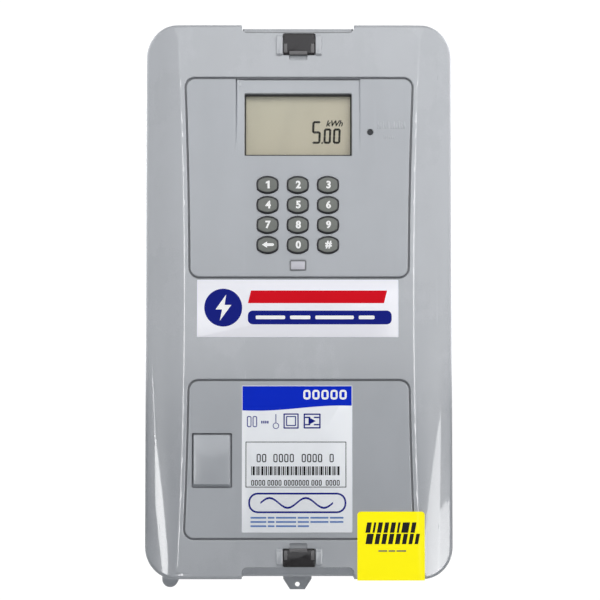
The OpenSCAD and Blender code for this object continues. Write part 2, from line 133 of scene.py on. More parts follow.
def arc(cx, cz, radius, start, end, count):
    """Points of an arc, with its angles in radians."""
    turns = [start + (end - start) * i / count for i in range(count + 1)]
    return [(cx + radius * math.cos(a), cz + radius * math.sin(a)) for a in turns]


def dense(points, pattern, step):
    """The same closed line, cut where the stretches of its pattern are longer than step."""
    found = []
    ends = zip(points, points[1:] + points[:1], pattern, pattern[1:] + pattern[:1])
    for (x0, z0), (x1, z1), start, end in ends:
        count = max(1, math.ceil(math.dist(start, end) / step))
        found += [(x0 + (x1 - x0) * i / count, z0 + (z1 - z0) * i / count) for i in range(count)]
    return found


class Outline:
    """A rectangle with round corners in X and Z. waist(z) widens it at height z."""

    def __init__(self, low, high, radius, waist=None, step=8, corner_steps=6):
        self.radius, self.step, self.corner_steps = radius, step, corner_steps
        self.waist = waist or (lambda z: 0)
        self.centre = ((low[0] + high[0]) / 2, (low[1] + high[1]) / 2)
        self.half = ((high[0] - low[0]) / 2, (high[1] - low[1]) / 2)

    def distance(self, x, z):
        qx = abs(x - self.centre[0]) - self.half[0] - self.waist(z) + self.radius
        qz = abs(z - self.centre[1]) - self.half[1] + self.radius
        return math.hypot(max(qx, 0), max(qz, 0)) + min(max(qx, qz), 0) - self.radius

    def detour(self, turn, inset):
        """Points that lead an edge aside after the corner numbered turn. A plain outline has none."""
        return []

    def corners(self, inset):
        """Points of the corners and detours alone, about the outline's own centre."""
        radius = max(self.radius - inset, 0.08)
        wide, tall = self.half[0] - inset - radius, self.half[1] - inset - radius
        found = []
        for turn, (sx, sz) in enumerate(((1, -1), (1, 1), (-1, 1), (-1, -1))):
            start = math.pi / 2 * (turn - 1)
            found += arc(sx * wide, sz * tall, radius, start, start + math.pi / 2, self.corner_steps)
            found += self.detour(turn, inset)
        return found

    def points(self, inset=0):
        """Points round the outline, moved in by inset, anticlockwise as seen from the front.

        Every inset is cut in the same way, so that the loops of one outline can be joined.
        """
        found, pattern = self.corners(inset), self.corners(0)
        if len(pattern) != len(found):
            pattern = found
        return [self.place(x, z) for x, z in dense(found, pattern, self.step)]

    def place(self, x, z):
        z += self.centre[1]
        return self.centre[0] + x + math.copysign(self.waist(z), x), z


class Housing(Outline):
    """The cover's outline, with a shallow lip cut into its top and bottom edges."""

    LIP_R = 0.9

    def __init__(self):
        super().__init__((-HALF_W, -HALF_H), (HALF_W, HALF_H), CORNER_R, step=9, corner_steps=16)
        floor, above = HALF_H - LIP_DROP, HALF_H + 6
        self.lips = [Outline((NOTCH_X[0], floor), (NOTCH_X[1], above), self.LIP_R),
                     Outline((NOTCH_X[0], -above), (NOTCH_X[1], -floor), self.LIP_R)]

    def distance(self, x, z):
        return max(super().distance(x, z), -min(lip.distance(x, z) for lip in self.lips))

    def detour(self, turn, inset):
        """The lip's line, after the right-hand corners of the two edges."""
        if turn not in (1, 3):
            return []
        radius = self.LIP_R + inset
        edge_z = HALF_H - inset
        height = edge_z - LIP_DROP + radius
        start = math.asin(min(0, (LIP_DROP - radius) / radius))
        path = [(NOTCH_X[1] + inset, edge_z)] if start == 0 else []
        path += arc(NOTCH_X[1] + inset - radius, height, radius, start, -math.pi / 2, 4)
        path += arc(NOTCH_X[0] - inset + radius, height, radius, -math.pi / 2, -math.pi - start, 4)
        path += [(NOTCH_X[0] - inset, edge_z)] if start == 0 else []
        return path if turn == 1 else [(x, -z) for x, z in reversed(path)]


class Disc:
    """A circle in X and Z."""

    def __init__(self, x, z, radius, count=32):
        self.centre, self.radius, self.count = (x, z), radius, count

    def distance(self, x, z):
        return math.hypot(x - self.centre[0], z - self.centre[1]) - self.radius

    def points(self, inset=0):
        return arc(*self.centre, self.radius - inset, 0, 2 * math.pi, self.count)[:-1]


class Barrel:
    """A key's outline: four shallow arcs with round corners."""

    def __init__(self, x, z):
        self.centre = (x, z)
        self.top = (0, KEY_H / 2 - KEY_TOP_R)
        self.side = (KEY_W / 2 - KEY_SIDE_R, 0)
        low, high = 0, math.pi / 2
        for _ in range(40):
            self.lean = (low + high) / 2
            self.corner = ((KEY_TOP_R - KEY_CORNER) * math.sin(self.lean),
                           self.top[1] + (KEY_TOP_R - KEY_CORNER) * math.cos(self.lean))
            outside = math.dist(self.corner, self.side) > KEY_SIDE_R - KEY_CORNER
            low, high = (low, self.lean) if outside else (self.lean, high)
        self.rise = math.atan2(self.corner[1], self.corner[0] - self.side[0])

    def distance(self, x, z):
        x, z = abs(x - self.centre[0]), abs(z - self.centre[1])
        turn = math.atan2(z - self.corner[1], x - self.corner[0])
        if self.rise < turn < math.pi / 2 - self.lean:
            return math.dist((x, z), self.corner) - KEY_CORNER
        return max(math.dist((x, z), self.top) - KEY_TOP_R, math.dist((x, z), self.side) - KEY_SIDE_R)

    def points(self, inset=0):
        steep = math.pi / 2 - self.lean
        quarter = arc(*self.side, KEY_SIDE_R - inset, 0, self.rise, 5)[:-1]
        quarter += arc(*self.corner, max(KEY_CORNER - inset, 0.05), self.rise, steep, 4)[:-1]
        quarter += arc(*self.top, KEY_TOP_R - inset, steep, math.pi / 2, 5)
        right = quarter + [(-x, z) for x, z in quarter[-2::-1]]
        whole = right + [(-x, -z) for x, z in right[1:-1]]
        return [(self.centre[0] + x, self.centre[1] + z) for x, z in whole]


def panel(node):
    """Outline of a front panel, whose long sides follow the ridge."""
    low, high = span(node)
    half = RIDGE_MID - PANEL_INSET
    return Outline((-half, low.z), (half, high.z), PANEL_R, waist=lambda z: ridge(z) - RIDGE_MID)


def rectangle(x, z, width, height, radius=0.3, corner_steps=4):
    """A rounded rectangle by its centre and size."""
    dx, dz = width / 2, height / 2
    return Outline((x - dx, z - dz), (x + dx, z + dz), radius, corner_steps=corner_steps)


# ---------- Height profiles across an edge ----------

RIM_TURNS = 6


def rim(distance, radius):
    """How far a rounded edge lies back at a signed distance from its outline."""
    past = min(distance, 0) + radius
    return radius - math.sqrt(max(radius * radius - past * past, 0)) if past > 0 else 0


def rim_insets(radius):
    """Insets at which a rounded edge has its rings, with a guard ring that keeps the flat face flat."""
    turns = [math.pi / 2 * i / RIM_TURNS for i in range(RIM_TURNS + 1)]
    return [radius * (1 - math.cos(a)) for a in turns] + [radius + 0.12]


def step_down(distance, depth, draft):
    """An S-shaped step that reaches its depth at draft inside an outline."""
    share = max(0, min(1, -distance / draft))
    return depth * (0.5 - 0.5 * math.cos(math.pi * share))


def step_insets(draft):
    """Insets at which an S-shaped step has its rings."""
    return [-0.1] + [draft * i / 6 for i in range(7)] + [draft + 0.1]


# ---------- Solids ----------


def relief(loops, dots, keep, front, back, rim_test=None, rim_y=0):
    """A closed solid between two height functions, over the area where keep(x, z) is true.

    loops are closed lines that the mesh follows and dots are loose points. Where rim_test(x, z) is
    true the solid reaches straight back to rim_y, which makes the side walls of a shell.
    """
    points, edges = [], []
    for loop in loops:
        start, count = len(points), len(loop)
        points += loop
        edges += [(start + i, start + (i + 1) % count) for i in range(count)]
    points += dots
    spots, _, faces, *_ = delaunay_2d_cdt([Vector(p) for p in points], edges, [], 0, 1e-4)
    verts, known, solid = [], {}, []

    def vertex(i, layer):
        """A corner on the front (0), the back (1) or the rim (2)."""
        if (i, layer) not in known:
            x, z = spots[i]
            known[i, layer] = len(verts)
            depth = front(x, z) if layer == 0 else back(x, z) if layer == 1 else rim_y
            verts.append((x, depth, z))
        return known[i, layer]

    owner = {}
    for face in faces:
        x, z = sum((spots[i] for i in face), Vector((0, 0))) / 3
        if not keep(x, z):
            continue
        layer = 2 if rim_test and rim_test(x, z) else 1
        solid.append([vertex(i, 0) for i in face])
        solid.append([vertex(i, layer) for i in reversed(face)])
        for a, b in zip(face, face[1:] + face[:1]):
            owner[a, b] = layer
    for (a, b), layer in owner.items():
        if (b, a) not in owner:
            solid.append([vertex(a, 0), vertex(a, layer), vertex(b, layer), vertex(b, 0)])
        elif layer == 1 and owner[b, a] == 2:
            solid.append([vertex(a, 1), vertex(b, 1), vertex(b, 2), vertex(a, 2)])
    return verts, solid


def stack(loops, closed=False):
    """A solid through equal loops of points, from the back one to the front one, with flat ends.

    When closed is true the last loop joins the first one, as in a frame or a tube.
    """
    count = len(loops[0])
    assert all(len(loop) == count for loop in loops), "the loops of a stack need equal points"
    verts = [tuple(p) for loop in loops for p in loop]
    faces = []
    for k in range(len(loops) if closed else len(loops) - 1):
        low, high = k * count, (k + 1) % len(loops) * count
        for a in range(count):
            b = (a + 1) % count
            faces.append([high + a, low + a, low + b, high + b])
    if not closed:
        top = (len(loops) - 1) * count
        faces.append(list(range(count))[::-1])
        faces.append([top + i for i in range(count)])
    return verts, faces


def level(outline, inset, y):
    """One loop of a stack."""
    return [(x, y, z) for x, z in outline.points(inset)]


def rounded(outline, front, edge, steps):
    """Loops of a rounded front edge."""
    turns = [math.pi / 2 * i / steps for i in range(steps + 1)]
    return [level(outline, edge * (1 - math.cos(a)), front + edge * (1 - math.sin(a))) for a in turns]


def block(outline, back, front, edge=0.3, steps=3):
    """A plate with a rounded front edge."""
    return stack([level(outline, 0, back)] + rounded(outline, front, edge, steps))


def ring(outer, inner, back, front):
    """A plain frame between two outlines with the same number of points."""
    return stack([outer(back), outer(front), inner(front), inner(back)], closed=True)


def band(outline, outer, inner, back, front):
    """A frame between two insets of one outline."""
    return ring(lambda y: level(outline, outer, y), lambda y: level(outline, inner, y), back, front)


def tube(x, z, outer_r, inner_r, back, front):
    """A round post with a bore through it."""
    big, small = Disc(x, z, outer_r), Disc(x, z, inner_r)
    return ring(lambda y: level(big, 0, y), lambda y: level(small, 0, y), back, front)


def moved(shape, dx=0, dy=0, dz=0, flip_z=False):
    """The same solid, shifted, or mirrored to the other end of the meter first."""
    verts, faces = shape
    sign = -1 if flip_z else 1
    turned = [face[::-1] for face in faces] if flip_z else faces
    return [(x + dx, y + dy, sign * z + dz) for x, y, z in verts], turned


class Shape:
    """Solids gathered into one piece, each with its own finish."""

    def __init__(self):
        self.verts, self.faces, self.marks, self.finishes = [], [], [], []

    def add(self, solid, finish):
        verts, faces = solid
        if finish not in self.finishes:
            self.finishes.append(finish)
        start = len(self.verts)
        self.verts += verts
        self.faces += [[start + i for i in face] for face in faces]
        self.marks += [self.finishes.index(finish)] * len(faces)
        return self

    def mesh(self, name, angle):
        """The solids as one smooth mesh, sharp where faces meet at more than angle degrees."""
        mesh = bpy.data.meshes.new(name)
        mesh.from_pydata([Vector(v) * MM for v in self.verts], [], self.faces)
        mesh.shade_smooth()
        mesh.set_sharp_from_angle(angle=math.radians(angle))
        return mesh

    def build(self, name, body, slot, *nodes, angle=32):
        mesh = self.mesh(name, angle)
        for finish in self.finishes:
            mesh.materials.append(finish)
        mesh.polygons.foreach_set("material_index", self.marks)
        mesh.update()
        return enrol(placed(name, mesh), body, slot, *nodes)


def placed(name, data):
    """A new object in the scene."""
    made = bpy.data.objects.new(name, data)
    bpy.context.scene.collection.objects.link(made)
    return made


def enrol(piece, body, slot, *nodes):
    """Hangs a finished piece on the empty of the body it rides on, and hides the CAD nodes it stands for.
    """
    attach(piece, body)
    if nodes:
        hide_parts(*nodes)
    return piece


# ---------- Finishes ----------


class Value:
    """A shader socket that takes part in Python expressions."""

    def __init__(self, finish, socket):
        self.finish, self.socket = finish, socket

    def math(self, operation, *others):
        inputs = dict(enumerate((self, *others)))
        return self.finish.add("Math", {"operation": operation}, inputs)

    def __add__(self, other):
        return self.math("ADD", other)

    def __mul__(self, other):
        return self.math("MULTIPLY", other)

    def __sub__(self, other):
        return self.math("SUBTRACT", other)

    def __rsub__(self, other):
        return self * -1 + other

    __radd__ = __add__
    __rmul__ = __mul__

    def ramp(self, low, high):
        """0 below low, 1 above high, smooth between them."""
        return self.finish.add("MapRange", {"interpolation_type": "SMOOTHSTEP"},
                               {0: self, 1: low, 2: high, 3: 0, 4: 1})

    def between(self, first, second):
        """A colour mixed from first to second by this value."""
        return self.finish.add("Mix", {"data_type": "RGBA"}, {0: self, 6: first, 7: second}, 2)


class Finish:
    """One procedural material, read in Object coordinates."""

    def __init__(self, name, **fixed):
        self.material = bpy.data.materials.new(name)
        self.material.use_nodes = True
        self.tree = self.material.node_tree
        self.shader = self.tree.nodes["Principled BSDF"]
        for socket, value in fixed.items():
            self.shader.inputs[socket.replace("_", " ")].default_value = value
        self.where = self.add("TexCoord", output="Object")

    def add(self, kind, settings=None, inputs=None, output=0):
        """Any other node: its type, its settings, and the values or links of its sockets."""
        node = self.tree.nodes.new("ShaderNode" + kind)
        for key, value in (settings or {}).items():
            setattr(node, key, value)
        for key, value in (inputs or {}).items():
            if isinstance(value, Value):
                self.tree.links.new(value.socket, node.inputs[key])
            else:
                node.inputs[key].default_value = value
        return Value(self, node.outputs[output])

    def noise(self, size, detail=2, stretch=(1, 1, 1), roughness=0.5):
        """Noise whose features are about size millimetres across."""
        where = self.where
        if stretch != (1, 1, 1):
            where = self.add("Mapping", inputs={"Vector": where, "Scale": stretch})
        inputs = {"Vector": where, "Scale": 1000 / size, "Detail": detail, "Roughness": roughness}
        return self.add("TexNoise", inputs=inputs)

    def axis(self, name):
        """One coordinate, in metres."""
        return self.add("SeparateXYZ", inputs={0: self.where}, output=name)

    def set(self, socket, value):
        self.tree.links.new(value.socket, self.shader.inputs[socket])

    def bump(self, height, depth, strength=1.0):
        """Relief of a given depth in millimetres."""
        inputs = {"Height": height, "Distance": depth * MM, "Strength": strength}
        self.set("Normal", self.add("Bump", inputs=inputs))


def shade(colour, factor):
    """A lighter or darker version of a colour."""
    return tuple(c * factor for c in colour[:3]) + (1,)


def corner_dirt(f):
    """Painted shade along the foot and the ends of the recess in the top edge, where its corner lies in
    shade: 0 elsewhere.
    """
    height, across, depth = f.axis("Z"), f.axis("X"), f.axis("Y")
    foot = NOTCH_FLOOR[1]
    half = (NOTCH_X[1] - NOTCH_X[0]) / 2
    near_foot = 1 - height.ramp((foot + 1.0) * MM, (foot + 1.5) * MM)
    from_middle = (across - (NOTCH_X[0] + half) * MM).math("ABSOLUTE")
    near_end = from_middle.ramp((half - 1.1) * MM, (half - 0.6) * MM)
    sunk = depth.ramp((FACE + 1) * MM, (FACE + 2) * MM) * height.ramp((foot - 0.5) * MM, foot * MM)
    inside = 1 - from_middle.ramp((half + 0.1) * MM, (half + 0.5) * MM)
    return near_foot.math("MAXIMUM", near_end) * sunk * inside * 0.85


def moulded(name, colour, rough=0.3, grain=0.02, variety=0.05, scuffs=0.5, painted_shade=None, **fixed):
    """Moulded plastic: fine tool grain, faint flow marks and light scuffs. The optional mask darkens the
    colour where shade falls: painted shade.
    """
    f = Finish(name, **fixed)
    cloud = f.noise(45, detail=4)
    flow = f.noise(14, detail=2, stretch=(1, 1, 0.2))
    fine = f.noise(0.35, detail=2, roughness=0.6)
    scratch = f.noise(5, detail=3, stretch=(1, 1, 0.06)).ramp(0.68, 0.76) * scuffs
    tone = (cloud * 0.7 + flow * 0.3).ramp(0.3, 0.7)
    base = tone.between(shade(colour, 1 - variety), shade(colour, 1 + variety))
    worn = (scratch * 0.3).between(base, shade(colour, 1.15))
    f.set("Base Color", painted_shade(f).between(worn, shade(colour, 0.3)) if painted_shade else worn)
    f.set("Roughness", tone * 0.06 + scratch * 0.1 + fine * 0.05 + (rough - 0.05))
    f.bump(fine * 0.7 + flow * 0.5 + scratch * -0.4, grain)
    return f.material


def paper(name, colour, rough=0.38, glow=0.0, gloss=1.0):
    """Coated label stock: smooth, with a little mottle and fine fibre relief. glow makes it give off light
    in its own colour; on the labels this is painted light.
    """
    f = Finish(name, Coat_Roughness=0.2, Emission_Color=colour + (1,), Emission_Strength=glow,
               Specular_IOR_Level=0.5 * gloss)
    mottle = f.noise(9, detail=3)
    fibre = f.noise(0.6, detail=2, stretch=(1, 1, 0.4))
    f.set("Base Color", mottle.between(shade(colour, 0.975), shade(colour, 1.02)))
    f.set("Roughness", mottle * 0.08 + fibre * 0.05 + (rough - 0.05))
    f.bump(fibre, 0.008)
    f.set("Coat Weight", mottle * (0.1 * gloss) + 0.2 * gloss)
    return f.material


def ink(name, colour, rough=0.32, glow=0.0):
    """Printed ink: dense, with the fine dots of the screen showing in its gloss."""
    f = Finish(name, Specular_IOR_Level=0.08, Emission_Color=colour + (1,), Emission_Strength=glow)
    dots = f.noise(0.25, detail=1)
    wash = f.noise(12, detail=2)
    f.set("Base Color", (wash * 0.6 + dots * 0.4).between(shade(colour, 0.92), shade(colour, 1.06)))
    f.set("Roughness", dots * 0.12 + rough)
    f.bump(dots, 0.006)
    return f.material


def metal(name, colour, rough=0.28, brushed=(1, 1, 0.08), tarnish=0.25):
    """Plated or bare metal: drawn grain, dull patches and fine scratches."""
    f = Finish(name, Metallic=1.0)
    grain = f.noise(0.7, detail=3, stretch=brushed)
    patch = f.noise(6, detail=4).ramp(0.45, 0.7)
    f.set("Base Color", (patch * tarnish).between(colour + (1,), shade(colour, 0.45)))
    f.set("Roughness", grain * 0.18 + patch * 0.15 + (rough - 0.09))
    f.bump(grain, 0.012)
    return f.material


def circuit_board(name):
    """Solder mask over copper: tracks show as a raised, lighter green; via dots on a grid."""
    f = Finish(name, Coat_Weight=0.6, Coat_Roughness=0.15, Roughness=0.35)
    track = f.add("TexBrick", {"offset": 0.37, "squash": 1.6},
                  {"Vector": f.add("Mapping", inputs={"Vector": f.where, "Rotation": (math.pi / 2, 0, 0)}),
                   "Scale": 1, "Mortar Size": 0.0004, "Brick Width": 0.0113, "Row Height": 0.0037}, 1)
    cloud = f.noise(20, detail=3)
    mask = cloud.between((0.010, 0.085, 0.035, 1), (0.016, 0.12, 0.05, 1))
    f.set("Base Color", (track * 0.8).between(mask, (0.03, 0.22, 0.09, 1)))
    f.bump(track + f.noise(1, detail=2) * 0.2, 0.03)
    return f.material


def display_film(name):
    """Reflective liquid-crystal glass: olive grey, darker in patches, with the faint cell pattern. Its tone
    is a little lighter towards the top and darker towards the right. A faint glow of its own is painted
    light that lifts the shade inside the window.
    """
    f = Finish(name, Coat_Weight=0.35, Coat_Roughness=0.12,
               Emission_Color=(0.46, 0.43, 0.32, 1), Emission_Strength=0.1)
    height, across = f.axis("Z"), f.axis("X")
    cloud = f.noise(26, detail=3)
    low, high = span("lcd_glass")
    fade = height.ramp(low.z * MM, high.z * MM) * 0.65 + cloud * 0.5
    warm = (0.59, 0.54, 0.405, 1)
    cool = (0.595, 0.565, 0.435, 1)
    side = across.ramp(low.x * MM, high.x * MM)
    tone = fade.between(warm, cool)
    f.set("Base Color", (side * 0.35).between(tone, (0.585, 0.515, 0.395, 1)))
    f.set("Roughness", f.noise(0.5) * 0.1 + 0.42)
    f.bump(f.noise(0.5), 0.006)
    return f.material


def clear_pane(name, colour, alpha, rough=0.06, gloss=0.35):
    """Clear or smoked plastic: mostly see-through, with a glossy skin and faint wipe marks."""
    f = Finish(name, IOR=1.49, Specular_IOR_Level=gloss)
    wipe = f.noise(8, detail=4, stretch=(1, 1, 0.3)).ramp(0.4, 0.8)
    f.set("Base Color", wipe.between(colour + (1,), shade(colour, 1.2)))
    f.set("Roughness", wipe * 0.08 + rough)
    f.set("Alpha", wipe * 0.03 + alpha)
    f.bump(f.noise(3, detail=2), 0.01)
    return f.material


def wound(name, colour):
    """Enamelled wire or a shrink sleeve with even turns along Z. The turns are lighter and darker in colour
    in step with their relief: painted light and shade.
    """
    f = Finish(name, Coat_Weight=0.3)
    turns = f.add("TexWave", {"bands_direction": "Z", "wave_profile": "SIN"},
                  {"Vector": f.where, "Scale": 330})
    cloud = f.noise(5, detail=3)
    f.set("Base Color", (turns * 0.6 + cloud * 0.4).between(shade(colour, 0.7), shade(colour, 1.15)))
    f.set("Roughness", cloud * 0.2 + 0.3)
    f.bump(turns, 0.1)
    return f.material


# The cover's colour is darkened at the foot and ends of the top recess: painted shade.
COVER = moulded("light_grey_moulding", (0.475, 0.492, 0.525), rough=0.27, painted_shade=corner_dirt,
                Coat_Weight=0.9, Coat_Roughness=0.035)
PANEL = moulded("panel_grey_moulding", (0.455, 0.475, 0.51), rough=0.3, Coat_Weight=0.6, Coat_Roughness=0.1)
# Dark grey bands laid in the grooves round the panels, the status window and the port recess: painted shade
# in these gaps.
GAP_SHADE = moulded("seam_grey", (0.2, 0.205, 0.22), rough=0.5)
BASE = moulded("base_grey_moulding", (0.43, 0.445, 0.475), rough=0.4, grain=0.04)
KEY_FACE = moulded("key_grey_rubber", (0.175, 0.185, 0.17), rough=0.5, grain=0.05, variety=0.12)
KEY_RIM = moulded("key_dark_rim", (0.018, 0.018, 0.019), rough=0.45, grain=0.04)
SMOKE = clear_pane("smoked_cap", (0.028, 0.025, 0.027), 0.86, rough=0.12)
SMOKE_LIGHT = clear_pane("smoked_cap_edge", (0.16, 0.155, 0.16), 0.9, rough=0.16)
BLACK = moulded("black_moulding", (0.022, 0.022, 0.024), rough=0.42, grain=0.04)
RUBBER = moulded("black_rubber", (0.02, 0.02, 0.02), rough=0.62, grain=0.06)
IVORY = moulded("ivory_insulator", (0.68, 0.64, 0.52), rough=0.38, grain=0.04)
DIFFUSER = moulded("milky_light_window", (0.68, 0.67, 0.74), rough=0.25)
RED_LENS = moulded("pulse_light_lens", (0.025, 0.027, 0.032), rough=0.2, Specular_IOR_Level=0.25)
CLEAR = clear_pane("clear_window", (0.30, 0.31, 0.30), 0.05, gloss=0.15)
FILM = display_film("display_film")
BRASS = metal("brass", (0.72, 0.50, 0.20))
COPPER = metal("copper", (0.80, 0.40, 0.24))
ZINC = metal("zinc_plate", (0.62, 0.63, 0.64), brushed=(1, 1, 1))
SHUNT = metal("shunt_alloy", (0.50, 0.42, 0.34))
BOARD = circuit_board("board_green")
# The label papers glow a little in their own colours: painted light that keeps them bright lower down,
# where the lamp light falls off.
BRIGHT_PAPER = paper("bright_label", (0.84, 0.84, 0.90), glow=0.19)
PAPER = paper("white_label", (0.84, 0.86, 0.90), glow=0.14)
YELLOW = paper("yellow_label", (0.98, 0.87, 0.0), glow=0.4, gloss=0.25)
RED_INK = ink("red_ink", (0.86, 0.004, 0.016))
BLUE_INK = ink("blue_ink", (0.0, 0.028, 0.72))
DEEP_BLUE_INK = ink("deep_blue_ink", (0.006, 0.014, 0.26))
PALE_BLUE_INK = ink("pale_blue_ink", (0.14, 0.27, 0.62))
BLACK_INK = ink("black_ink", (0.016, 0.016, 0.018))
GREY_INK = ink("grey_ink", (0.16, 0.16, 0.17))
# The white ink glows a little: painted light that keeps the legends and white print bright.
WHITE_INK = ink("white_ink", (0.92, 0.92, 0.92), glow=0.25)
SEGMENT = ink("display_segment", (0.02, 0.018, 0.014), rough=0.5)
WINDING = wound("transformer_winding", (0.55, 0.38, 0.10))
SLEEVE = wound("capacitor_sleeve", (0.03, 0.06, 0.22))
FILM_YELLOW = moulded("film_capacitor_yellow", (0.72, 0.40, 0.03), rough=0.4)
DISC_BLUE = moulded("varistor_blue", (0.02, 0.13, 0.45), rough=0.35, grain=0.06)


# ---------- Cover ----------


def recess_floor(side):
    """Depth step of the notch at the top (1) or the bottom (-1) edge."""
    floor, above = NOTCH_FLOOR[side], HALF_H + 8
    low, high = (floor, above) if side > 0 else (-above, -floor)
    return Outline((NOTCH_X[0], low), (NOTCH_X[1], high), NOTCH_R)


def at_latch(side, low, high):
    """A span of heights at the top latch, or mirrored at the bottom one."""
    return (low, high) if side > 0 else (-high, -low)


def latch_box(side, left, right, low, high, radius=0.3):
    """A rounded rectangle at a latch, given by its spans at the top one."""
    z0, z1 = at_latch(side, low, high)
    return Outline((left, z0), (right, z1), radius, step=100, corner_steps=4)


def latch_z(side):
    """Height of the screw under a seal cap."""
    return side * (NOTCH_FLOOR[side] - TOWER_R - 0.2)


UPPER, LOWER = panel("display_fascia"), panel("lower_panel")
HOUSING = Housing()
NOTCHES = {side: recess_floor(side) for side in SIDES}
POCKET_W = CAP_W / 2 + 0.25
POST_W = 2.9
POCKETS = {s: latch_box(s, -POCKET_W, POCKET_W, CAP_LOW - 0.2, NOTCH_FLOOR[s] - 0.25) for s in SIDES}
TABS = {s: latch_box(s, -4.4, 3.7, CAP_LOW - 2.5, CAP_LOW + 2, 0.7) for s in SIDES}
TAB_DEPTH, TAB_DRAFT = 1.2, 0.35


def cover_front(x, z):
    """Depth of the cover's front surface."""
    y = FACE + wing(x, z) + rim(HOUSING.distance(x, z), EDGE_R)
    for opening in (UPPER, LOWER):
        y += rim(GROOVE - opening.distance(x, z), PANEL_EDGE)
    for side in SIDES:
        if z * side > LATCH_ZONE:
            y += step_down(NOTCHES[side].distance(x, z), NOTCH_STEP, NOTCH_DRAFT)
            y += step_down(TABS[side].distance(x, z), TAB_DEPTH, TAB_DRAFT)
    return y


def cover_back(x, z):
    """Depth of the cover's inner surface."""
    side = 1 if z > 0 else -1
    return FACE + wing(x, z) + step_down(NOTCHES[side].distance(x, z), NOTCH_STEP, NOTCH_DRAFT) + WALL


def clip(loop, low, high):
    """A loop held between two heights, so that it stays inside the housing."""
    return [(x, max(low, min(high, z))) for x, z in loop]


def front_cover():
    """The grey cover: flat face, two wings, notches, panel openings and latch pockets."""
    loops = [HOUSING.points(inset) for inset in rim_insets(EDGE_R) + [WALL]]
    for opening in (UPPER, LOWER):
        loops += [opening.points(-GROOVE - inset) for inset in rim_insets(PANEL_EDGE)]
    dots = []
    for side in SIDES:
        loops += [POCKETS[side].points()]
        edge = HALF_H - LIP_DROP
        low, high = (-edge, 0) if side < 0 else (0, edge)
        loops += [clip(NOTCHES[side].points(inset), low, high) for inset in step_insets(NOTCH_DRAFT)]
        loops += [TABS[side].points(inset) for inset in step_insets(TAB_DRAFT)]
    rows = [-HALF_H + 3 * i for i in range(1, int(2 * HALF_H / 3))]
    offsets = [-1.4, -RIDGE_SOFT, -0.45, -0.2, 0, 0.2, 0.45, RIDGE_SOFT, 1.4]
    offsets += [2.6 + 1.3 * i for i in range(12)]
    for z in rows:
        spots = [(s * (ridge(z) + offset), z) for s in SIDES for offset in offsets]
        dots += [p for p in spots if HOUSING.distance(*p) < -EDGE_R - 0.4]

    def keep(x, z):
        holes = [UPPER.distance(x, z) - GROOVE, LOWER.distance(x, z) - GROOVE,
                 POCKETS[1].distance(x, z), POCKETS[-1].distance(x, z)]
        return HOUSING.distance(x, z) < 0 < min(holes)

    def in_rim(x, z):
        return HOUSING.distance(x, z) > -WALL

    shape = Shape()
    shape.add(relief(loops, dots, keep, cover_front, cover_back, in_rim, COVER_BACK), COVER)
    ledge_y = FACE + PANEL_T
    for opening in (UPPER, LOWER):
        shape.add(band(opening, -LEDGE_OUT, LEDGE_IN, ledge_y + 2, ledge_y - 0.1), COVER)
        # A dark band at the floor of the groove between cover and panel: painted shade.
        shape.add(band(opening, -LEDGE_OUT, -0.06, ledge_y + 0.5, FACE + GROOVE_DEPTH), GAP_SHADE)
    for side in SIDES:
        add_latch(shape, side)
    for sx in SIDES:
        for sz in SIDES:
            shape.add(tube(sx * POST_X, sz * POST_Z, 4, 1.4, REAR_FACE, FACE + 4.6), COVER)
    shape.build("front_cover_shell", "meter", "cover_plastic", "front_cover")


def add_latch(shape, side):
    """Pocket, screw tower, tab floor and the two posts beside a seal cap."""
    outer = latch_box(side, -9.2, 9.2, CAP_LOW - 1.2, NOTCH_FLOOR[side] + 0.6)
    inner = POCKETS[side]
    shape.add(stack([level(outer, 0, POCKET_Y + 2), level(outer, 0, FACE + PANEL_T + 0.1),
                     level(inner, 0, FACE + PANEL_T + 0.1), level(inner, 0, POCKET_Y)]), COVER)
    shape.add(tube(0, latch_z(side), TOWER_R, 2.3, REAR_FACE, POCKET_Y + 1.9), COVER)
    near, far = POCKET_W, POCKET_W + POST_W
    for sx in SIDES:
        left, right = sorted((sx * near, sx * far))
        post = latch_box(side, left, right, CAP_LOW - 0.2, NOTCH_FLOOR[side] - 1.2, 0.5)
        shape.add(block(post, FACE + 2, FACE - CAP_PROUD + 0.1, edge=0.45), COVER)
        foot = latch_box(side, left + 0.35, right - 0.35, CAP_LOW + 0.3, CAP_LOW + 1.1, 0.2)
        shape.add(block(foot, FACE - 1, FACE - CAP_PROUD, edge=0.15), COVER)


# ---------- Panels ----------

SCOOP_X = (-28.2, 27.2)
SCOOP_TOP = span("display_fascia")[1].z + 2
SCOOP_FOOT = 66
SCOOP_D = 1.9
SCOOP_DRAFT = 0.3
SCOOP_FILLET = 3.2
CREASE = 0.35
SCOOP = Outline((SCOOP_X[0], 50), (SCOOP_X[1], SCOOP_TOP), 1.3)
KEY_NODES = ("key_1", "key_2", "key_3", "key_4", "key_5", "key_6",
             "key_7", "key_8", "key_9", "key_back", "key_0", "key_hash")
BARRELS = {node: Barrel(*middle(node)) for node in KEY_NODES}
KEY_EDGE = 0.25
DISPLAY_X, DISPLAY_Z = middle("lcd_window")
DISPLAY = rectangle(DISPLAY_X, DISPLAY_Z, 47.6, 27.8, 0.4)
DISPLAY_EDGE = 0.5
DISPLAY_FLOOR = span("lcd_window")[0].y
PULSE = Disc(*middle("pulse_led"), 1.4)
STATUS = rectangle(*middle("status_window"), 7.2, 4.6, 0.6)
BOSS = Outline((-30, 62), (29, 95.2), 0.5)
FASCIA_POST_X, FASCIA_POST_Z = (-40, 40), (17.4, 91)


